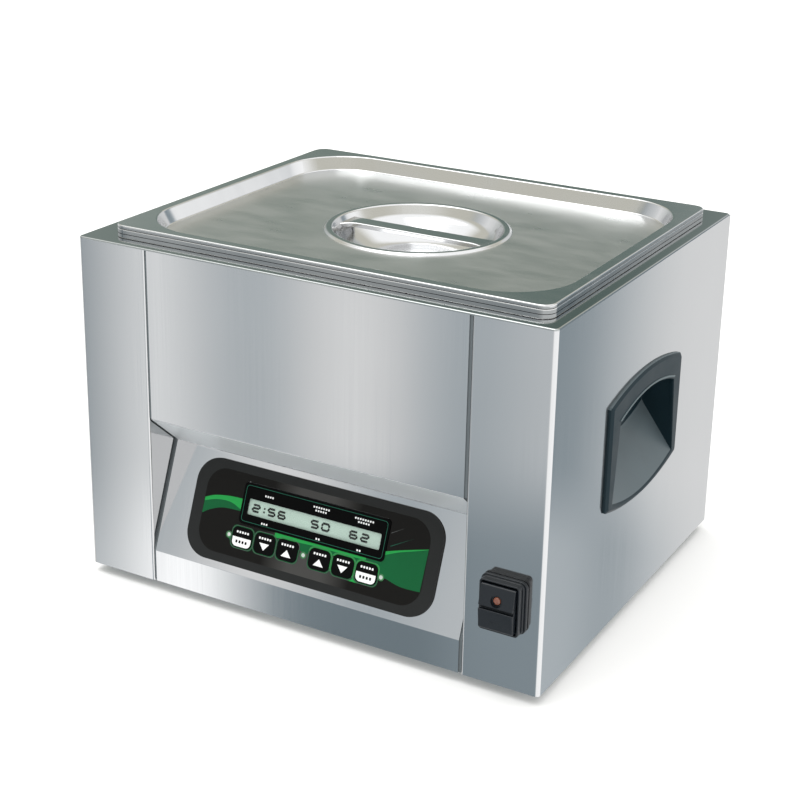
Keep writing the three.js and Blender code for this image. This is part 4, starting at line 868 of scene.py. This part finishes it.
def grip_rings():
    """Rings from the flange's edge on the side, over its face and into the scooped pocket."""
    def flange(grow, proud):
        return arch(grow, GRIP_WIDTH, GRIP_WIDTH, GRIP_EDGE / 2, -GRIP_EDGE / 2, 2.0), SIDE + proud

    def pocket(depth, grow):
        climb = max(depth, 0) / (POCKET_DEPTH + GRIP_PROUD) * POCKET_RISE
        roof = POCKET_UNDERCUT * min(max((depth - 2.0) / 2.5, 0), 1)
        top, bottom = POCKET_TOP + roof, -POCKET_BOTTOM + climb
        outline = arch(grow, POCKET_TOP_WIDTH, POCKET_BOTTOM_WIDTH, top, bottom, 1.6)
        return outline, SIDE + GRIP_PROUD - depth

    stages = [flange(0, 0.02), flange(0, 1.3), flange(-0.3, 1.6), flange(-1.7, 2.9), flange(-2.1, GRIP_PROUD)]
    stages += [pocket(0, 0.3), pocket(0.3, 0.05)]
    stages += [pocket(depth, 0) for depth in (0.8, 2.0, 3.0, 4.5, 8, 14, 20, 23.5)]
    stages += [pocket(24.6, -0.5), pocket(25, -1.6)]
    return [[(x, y, z) for y, z in on_grip(outline)] for outline, x in stages]


def add_grip(hand):
    name = "right_grip" if hand > 0 else "left_grip"
    rings = grip_rings()
    grip = loft(name + "_shell", rings, close=False)
    with reshaping(grip.data) as shape:
        shape.faces.new(list(shape.verts)[-len(rings[0]):])
    thicken = grip.modifiers.new("wall", "SOLIDIFY")
    thicken.thickness, thicken.offset = GRIP_WALL * MM, -1
    baked(grip)
    finished(mirrored(grip, hand), BODY, "grip_plastic", GRIP_PLASTIC, name, angle=38)
    # The pocket's upward faces get the lighter plastic: painted light falling into the scoop.
    repainted(grip, GRIP_SCOOP_PAINTED_LIGHT,
              lambda normal, middle: normal.z > 0.3 and abs(middle.x) < SIDE + GRIP_PROUD - 1)
    # A thin lighter strip along the pocket's upper lip: a painted highlight where the lip catches light.
    half, high = POCKET_TOP_WIDTH / 2, POCKET_TOP
    spots = [-1 + i / 12 for i in range(25)]
    bead = [(half * t, high + 0.7 + GRIP_ARCH * (1 - t * t)) for t in spots]
    bead += [((half + 1.2) * t, high + 2.0 + GRIP_ARCH * (1 - t * t)) for t in reversed(spots)]
    lip = prism(name + "_bead", on_grip(bead), SIDE + 2.8, SIDE + 3.5, "x")
    bevel(lip, 0.3, 2, 50)
    finished(mirrored(lip, hand), BODY, "grip_plastic", GRIP_LIP_PAINTED_HIGHLIGHT)


add_grip(1)
add_grip(-1)

# ---------------------------------------------------------------- console

PRINT_STEP = 0.04  # each printed layer stands this far above the one below


def console_plate(name, outline, low, high, slot, material, *nodes, holes=(), edge=0.0, body=BODY):
    plate = prism(name, outline, low, high, holes=holes)
    if edge:
        bevel(plate, edge, 2, 50)
    return finished(moved(plate, CONSOLE), body, slot, material, *nodes)


KEY_NODES = ["timer_start_key", "time_down_key", "time_up_key", "temperature_up_key", "temperature_down_key",
             "heat_start_key"]
KEY_SPOTS = {name: Span(name).mid.x for name in KEY_NODES}
LAMP_SPOTS = {name: Span(name).mid.x for name in ("timer_lamp", "line_lamp", "heat_lamp")}
OVERLAY_WIDTH = overlay_box.size.x
OVERLAY_HEIGHT = SLOPE_LENGTH - OVERLAY_BOTTOM - OVERLAY_TOP_MARGIN
OVERLAY_MIDDLE = (0, OVERLAY_BOTTOM + OVERLAY_HEIGHT / 2)
INNER_HALF = (87.3, 28.7)
INNER_CORNER = 15.0


def grown(size, middle, grow=0.0, rounder=0.0, steps=6):
    """The outline of a (width, height, corner) size, wider and rounder by so much."""
    return rounded_rectangle(size[0] + grow, size[1] + grow, size[2] + rounder, middle, steps)


def overlay_holes(clearance):
    holes = [grown(BEZEL, (0, BEZEL_SLOPE), 2 * clearance, steps=4)]
    holes += [grown(KEY_SIZE, (x, KEY_SLOPE), 2 * clearance, steps=5) for x in KEY_SPOTS.values()]
    holes += [circle(1.5 + clearance, (x, KEY_SLOPE), 16) for x in LAMP_SPOTS.values()]
    return holes


def add_overlay():
    outline = rounded_rectangle(OVERLAY_WIDTH, OVERLAY_HEIGHT, OVERLAY_CORNER, OVERLAY_MIDDLE, 14)
    console_plate("overlay_film", outline, 0.3, OVERLAY_FACE, "overlay_film", OVERLAY_EDGE, "keypad_overlay",
                  holes=overlay_holes(0.25), edge=0.25)
    inner = rounded_rectangle(2 * INNER_HALF[0], 2 * INNER_HALF[1], INNER_CORNER, OVERLAY_MIDDLE, 14)
    console_plate("overlay_field", inner, OVERLAY_FACE - 0.1, OVERLAY_FACE + PRINT_STEP, "overlay_film",
                  OVERLAY_INNER, holes=overlay_holes(0.3))


add_overlay()


def film(name, outline, level, material, body=BODY, holes=(), slot="overlay_film"):
    """A printed shape on the console, its face this far out of the panel."""
    return console_plate(name, outline, level - 0.12, level, slot, material, holes=holes, body=body)


def smooth(points, steps=6):
    """A Catmull-Rom curve through points."""
    spots = [Vector(p) for p in (points[0], *points, points[-1])]
    curve = []
    for a, b, c, d in zip(spots, spots[1:], spots[2:], spots[3:]):
        for i in range(steps):
            t = i / steps
            curve.append(tuple(0.5 * (2 * b + (c - a) * t + (2 * a - 5 * b + 4 * c - d) * t ** 2
                                      + (3 * b - a - 3 * c + d) * t ** 3)))
    return curve + [tuple(points[-1])]


def add_swoosh():
    """The green band that passes behind the display, and two thin rays above its right end."""
    field = OVERLAY_FACE + PRINT_STEP
    half = BEZEL[0] / 2
    left, right = -INNER_HALF[0], INNER_HALF[0] - 0.8
    leaf_top = smooth([(left + 0.4, 45.6), (-79, 48.6), (-68, 50.4), (-half, 50.9)])
    leaf_split = smooth([(-half, 43.4), (-66, 46.6), (-77, 46.2), (left + 0.3, 43.0)])
    leaf_low = smooth([(left + 0.1, 34.4), (-81, 38.2), (-71, 41.6), (-half, 42.4)])
    film("leaf_dark", leaf_low + leaf_split, field + PRINT_STEP, OVERLAY_GREEN)
    film("leaf_light", leaf_top + leaf_split, field + PRINT_STEP, OVERLAY_LIME)
    low_edge = smooth([(-27, 31.4), (-14, 28.6), (4, 26.2), (26, 24.6), (46, 25.6), (58, 25.4), (72, 22.4),
                       (right, 22.6)])
    high_edge = smooth([(right + 0.5, 50.2), (72, 45.6), (half, 41.6)])
    band = low_edge + high_edge + [(half, BEZEL_SLOPE - 12), (-27, BEZEL_SLOPE - 12)]
    film("band_dark", band, field + PRINT_STEP, OVERLAY_GREEN, holes=overlay_holes(0.9)[1:])
    lime = smooth([(-27, 31.4), (-14, 28.8), (4, 28.4), (26, 30.0), (44, 33.4)])
    lime += [(44, BEZEL_SLOPE - 12), (-27, BEZEL_SLOPE - 12)]
    film("band_light", lime, field + 2 * PRINT_STEP, OVERLAY_LIME, holes=overlay_holes(0.9)[4:])
    tail = smooth([(half, 39.8), (66, 43.6), (78, 47.4), (right + 0.5, 50.3)])
    film("band_tail", tail + [(right + 0.5, 50.7)] + smooth([(76, 47.8), (66, 45.0), (half, 42.2)]),
         field + 2 * PRINT_STEP, OVERLAY_LIME)
    rays = [((58.4, 54.7), (67.4, 59.9), PRINT_GREY), ((59.6, 46.2), (75.3, 54.9), PRINT_TEAL)]
    for i, (start, end, paint) in enumerate(rays):
        along = (Vector(end) - Vector(start)).normalized()
        across = Vector((-along.y, along.x)) * 0.22
        ray = [Vector(start) - across, Vector(end), Vector(start) + across]
        film(f"ray_{i + 1}", [tuple(p) for p in ray], field + PRINT_STEP, paint)


# Seven-segment strokes: top, upper right, lower right, bottom, lower left, upper left, middle.
DIGITS = {"0": "012345", "2": "01643", "5": "05623", "6": "056234"}


def add_digit(name, figure, left, level):
    base, (width, height), stroke = DIGIT_BASE, DIGIT_SIZE, DIGIT_STROKE
    half = height / 2
    strokes = {
        "0": (0, height, width, height), "3": (0, 0, width, 0), "6": (0, half, width, half),
        "1": (width, half, width, height), "2": (width, 0, width, half),
        "4": (0, 0, 0, half), "5": (0, half, 0, height),
    }
    for code in DIGITS[figure]:
        x0, y0, x1, y1 = strokes[code]
        flat = y0 == y1
        length = (x1 - x0 if flat else y1 - y0) - 0.25
        size = (length, stroke) if flat else (stroke, length)
        spot = (left + (x0 + x1) / 2, base + (y0 + y1) / 2)
        bar = rounded_rectangle(size[0], size[1], stroke * 0.42, spot, 3)
        film(f"{name}_{code}", bar, level, LCD_INK, slot="lcd")


def add_marks(name, middle, rows, level, pitch=1.9):
    """A small block of plain dashes where a caption would stand."""
    for r, count in enumerate(rows):
        for i in range(count):
            x = middle[0] + (i - (count - 1) / 2) * pitch
            dash = rounded_rectangle(pitch * 0.62, 1.25, 0.3, (x, middle[1] - r * 2.2), 2)
            film(f"{name}_{r}_{i}", dash, level, PRINT_WHITE, slot="bezel_black")


def add_display():
    face = OVERLAY_FACE + 0.5
    frame_outline = rounded_rectangle(*BEZEL, (0, BEZEL_SLOPE), 8)
    pane = rounded_rectangle(WINDOW[0], WINDOW[1], WINDOW[2], (0, WINDOW_SLOPE), 4)
    console_plate("display_frame", frame_outline, 0.3, face, "bezel_black", BEZEL_BLACK, "display_bezel",
                  holes=[pane], edge=0.2)
    line = grown(BEZEL, (0, BEZEL_SLOPE), -3.4, -0.6)
    inside = grown(BEZEL, (0, BEZEL_SLOPE), -4.1, -0.9)
    film("display_line", line, face + PRINT_STEP, PRINT_TEAL, holes=[inside], slot="bezel_black")
    level = 0.2
    figures = [("2", -48.6), ("5", -36.2), ("6", -28.0), ("5", -1.8), ("0", 6.6), ("6", 28.2), ("2", 36.8)]
    for i, (figure, left) in enumerate(figures):
        add_digit(f"digit_{i + 1}", figure, left, level)
    for i, s in enumerate((45.5, 47.9)):
        dot = rounded_rectangle(1.3, 1.3, 0.3, (-39.4, s), 2)
        film(f"colon_{i + 1}", dot, level, LCD_INK, slot="lcd")
    captions = [((-36.5, 56.6), (4,)), ((4.5, 58.4), (7, 5)), ((37.5, 58.4), (8, 5)), ((-36.5, 38.0), (3,)),
                ((6.0, 38.0), (2,)), ((37.5, 38.0), (2,))]
    for i, (middle, rows) in enumerate(captions):
        add_marks(f"caption_{i + 1}", middle, rows, face + PRINT_STEP)


def merged(name, *pieces):
    shape = bmesh.new()
    for piece in pieces:
        shape.from_mesh(piece.data)
    mesh = bpy.data.meshes.new(name)
    shape.to_mesh(mesh)
    shape.free()
    for piece in pieces:
        bpy.data.objects.remove(piece)
    return placed(name, mesh)


def add_key(node, arrow):
    """One key: a film cap over its stem, with an arrow, or a white lower half on a start key."""
    x, body = KEY_SPOTS[node], node.replace("_key", "_button")
    level = OVERLAY_FACE + 0.6
    cap = bevel(prism(node + "_top", grown(KEY_SIZE, (x, KEY_SLOPE)), 0.6, level), 0.35, 3, 50)
    stem = prism(node + "_stem", rounded_rectangle(8, 6, 0.5, (x, KEY_SLOPE), 2), -6, 0.7)
    finished(moved(merged(node + "_cap", cap, stem), CONSOLE), body, "key_film", KEY_BLACK, node)
    rim = [grown(KEY_SIZE, (x, KEY_SLOPE), grow, grow / 2) for grow in (1.7, 1.15)]
    film(node + "_outline", rim[0], OVERLAY_FACE + 4 * PRINT_STEP, PRINT_GREY, holes=[rim[1]])
    printed = level + PRINT_STEP
    caption = KEY_SLOPE + 3.6
    for i in range(5):
        dash = rounded_rectangle(1.3, 1.5, 0.3, (x + (i - 2) * 2.1, caption), 2)
        film(f"{node}_caption_{i}", dash, printed, PRINT_WHITE, body, slot="key_film")
    if arrow:
        low, high = (KEY_SLOPE - 4.4, KEY_SLOPE + 0.4)
        tip, base = (high, low) if arrow == "up" else (low, high)
        print_outline = [(x - 3.9, base), (x + 3.9, base), (x, tip)]
        film(node + "_arrow", print_outline, printed, PRINT_WHITE, body, slot="key_film")
        return
    half, low = KEY_SIZE[0] / 2 - 0.9, KEY_SLOPE - KEY_SIZE[1] / 2 + 0.8
    corner = KEY_SIZE[2] - 0.6
    white = arc((x + half - corner, low + corner), corner, -90, 0, 6)
    white += [(x + half, KEY_SLOPE), (x - half, KEY_SLOPE)]
    white += arc((x - half + corner, low + corner), corner, 180, 270, 6)
    film(node + "_base", white, printed, PRINT_WHITE, body, slot="key_film")
    for i in range(4):
        dash = rounded_rectangle(1.5, 1.9, 0.3, (x + (i - 1.5) * 2.5, KEY_SLOPE - 3.0), 2)
        film(f"{node}_mark_{i}", dash, printed + PRINT_STEP, KEY_BLACK, body, slot="key_film")


def add_lamps():
    section = [(0, -8), (1.5, -8), (1.5, 1.2), (1.35, 1.5), (1.05, 1.7), (0.55, 1.84), (0, 1.88)]
    for node, x in LAMP_SPOTS.items():
        lamp = moved(lathe(node + "_dome", section, 24), CONSOLE @ Matrix.Translation((x, KEY_SLOPE, 0)))
        finished(lamp, BODY, "lamp_white", LAMP_WHITE, node, angle=50)
        film(node + "_ring", circle(2.2, (x, KEY_SLOPE), 24), OVERLAY_FACE + 5 * PRINT_STEP, PRINT_GREY,
             holes=[circle(1.8, (x, KEY_SLOPE), 24)])


add_swoosh()
add_display()
for key, arrow in zip(KEY_NODES, (None, "down", "up", "up", "down", None)):
    add_key(key, arrow)
add_lamps()

# ---------------------------------------------------------------- power switch

SWITCH = Matrix.Translation((Span("switch_bezel").mid.x, FRONT, Span("switch_bezel").mid.z))
SWITCH_STEPS = [((31.6, 36.0, 4.5), 0.3, 3.0), ((29.3, 34.9, 3.6), 2.9, 5.2), ((27.5, 34.6, 2.4), 5.1, 9.4)]
ROCKER_SIZE = (23.5, 30.3)
ROCKER_CREST, ROCKER_ROOT, ROCKER_PIVOT, ROCKER_TILT = 14.4, 2.4, 7.0, -4.5
ROCKER_FALL = math.tan(math.radians(9))
LENS_HEIGHT, LENS_RADIUS, LENS_WELL = 5.6, 2.6, 3.9


def add_switch():
    opening = rounded_rectangle(24.5, 32.3, 1.0, steps=4)
    steps = []
    for i, (outline, low, high) in enumerate(SWITCH_STEPS):
        ring = prism(f"switch_step_{i}", grown(outline, (0, 0)), -high, -low, "y", holes=[opening])
        steps.append(bevel(ring, 0.6 if i < 2 else 0.45, 3, 50))
    surround = moved(merged("switch_surround", *steps), SWITCH)
    finished(surround, BODY, "switch_black", SWITCH_PLASTIC, "switch_bezel")
    pivot = Matrix.Translation((0, -ROCKER_PIVOT, 0))
    tilt = SWITCH @ pivot @ Matrix.Rotation(math.radians(ROCKER_TILT), 4, "X") @ pivot.inverted()
    half, groove, deep = ROCKER_SIZE[1] / 2, 1.1, 2.6
    fall = (half - groove) * ROCKER_FALL
    upper = [(ROCKER_ROOT, half - 1, 0.8), (ROCKER_CREST - fall - 0.2, half - 0.2, 1.4),
             (ROCKER_CREST, groove, 0.5), (ROCKER_CREST - deep, groove, 0.3)]
    lower = [(out, -z, fillet) for out, z, fillet in reversed(upper)]
    outline = rounded_path([*upper, *lower, upper[0]], 5)[:-1]
    width = ROCKER_SIZE[0]
    block = prism("rocker_block", [(-out, z) for out, z in outline], -width / 2, width / 2, "x")
    bevel(block, 0.5, 3, 60)
    face = ROCKER_CREST - LENS_HEIGHT * ROCKER_FALL
    sinks = [("well", LENS_WELL, 1.2), ("seat", LENS_RADIUS + 0.25, 3.4)]
    pierce(block, [prism(name, circle(radius, (0, LENS_HEIGHT), 40), -face - 2, -face + sink, "y")
                   for name, radius, sink in sinks])
    dash = prism("rocker_dash", rounded_rectangle(6, 0.9, 0.4, (0, -8.6), 3), -ROCKER_CREST - 1,
                 -ROCKER_CREST + 7.4 * ROCKER_FALL + 0.3, "y")
    pierce(block, [dash])
    finished(moved(block, tilt), "rocker", "switch_black", SWITCH_PLASTIC, "power_rocker")
    section = [(0, 0.0), (LENS_RADIUS, 0.0), (LENS_RADIUS, 2.0), (LENS_RADIUS * 0.8, 2.5),
               (LENS_RADIUS * 0.45, 2.8), (0, 2.9)]
    stand = Matrix.Translation((0, -face + 3.0, LENS_HEIGHT)) @ Matrix.Rotation(math.pi / 2, 4, "X")
    lens = moved(lathe("lens_dome", section, 32), tilt @ stand)
    finished(lens, "rocker", "amber_lens", AMBER, "rocker_lens", angle=50)


add_switch()

# ---------------------------------------------------------------- feet and pieces kept from the CAD


def add_feet():
    section = [(0, 9.5), (2.4, 9.5), (3.0, 6.8), (11.6, 6.8), (12.0, 6.2), (11.9, 5.2), (10.4, 0.8),
               (9.4, 0.1), (7.6, 0.0), (7.0, 0.5), (0, 0.5)]
    for node in ("front_left_foot", "back_left_foot", "front_right_foot", "back_right_foot"):
        spot = Span(node).mid
        foot = moved(lathe(node + "_pad", section, 40), Matrix.Translation((spot.x, spot.y, 0)))
        finished(foot, BODY, "foot_rubber", FOOT_RUBBER, node)


def dress(material, width, *nodes):
    """A new material, and softly rounded edges, on pieces whose CAD shape is right."""
    for node in nodes:
        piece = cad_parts[node]
        piece.data.materials.clear()
        piece.data.materials.append(material)
        if width:
            edge = piece.modifiers.new("edge", "BEVEL")
            edge.width, edge.segments, edge.limit_method = width * MM, 2, "ANGLE"
            edge.angle_limit = math.radians(40)
        for face in piece.data.polygons:
            face.use_smooth = False


add_feet()
dress(STEEL_SIDE, 0.15, "back_panel")
dress(STEEL_DECK_PAINTED_SHADE, 0.15, "base_plate")
dress(PUNCHED_STEEL, 0.2, "false_bottom")
dress(SCREW_STEEL, 0.2, *[f"back_screw_{i}" for i in (1, 2, 3, 4)], "inlet_screw_1", "inlet_screw_2")
dress(TECHNICAL_PLASTIC, 0.4, "mains_inlet", "fuse_drawer")
dress(TECHNICAL_PLASTIC, 0.2, "switch_body", "solid_state_relay", "thermal_cutout")
dress(BRASS, 0.3, "inlet_live_pin", "inlet_neutral_pin", "inlet_earth_pin")
dress(FUSE_GLASS, 0.2, "fuse")
dress(GASKET_RUBBER, 0.2, "tank_gasket")
dress(LCD_PANEL, 0.0, "lcd_module")
dress(CLEAR, 0.0, "display_window")
dress(BOARD, 0.1, "control_board", "power_board")
dress(HEATER_SILICONE, 0.2, "heater_mat")
dress(ALUMINIUM, 0.2, "heater_clamp_plate", "heat_sink")
dress(FELT, 0.4, "insulation_pad")
dress(SCREW_STEEL, 0.2, "temperature_probe")
dress(CORE, 0.3, "transformer")
dress(LEAD_RUBBER, 0.0, "heater_lead", "control_lead")
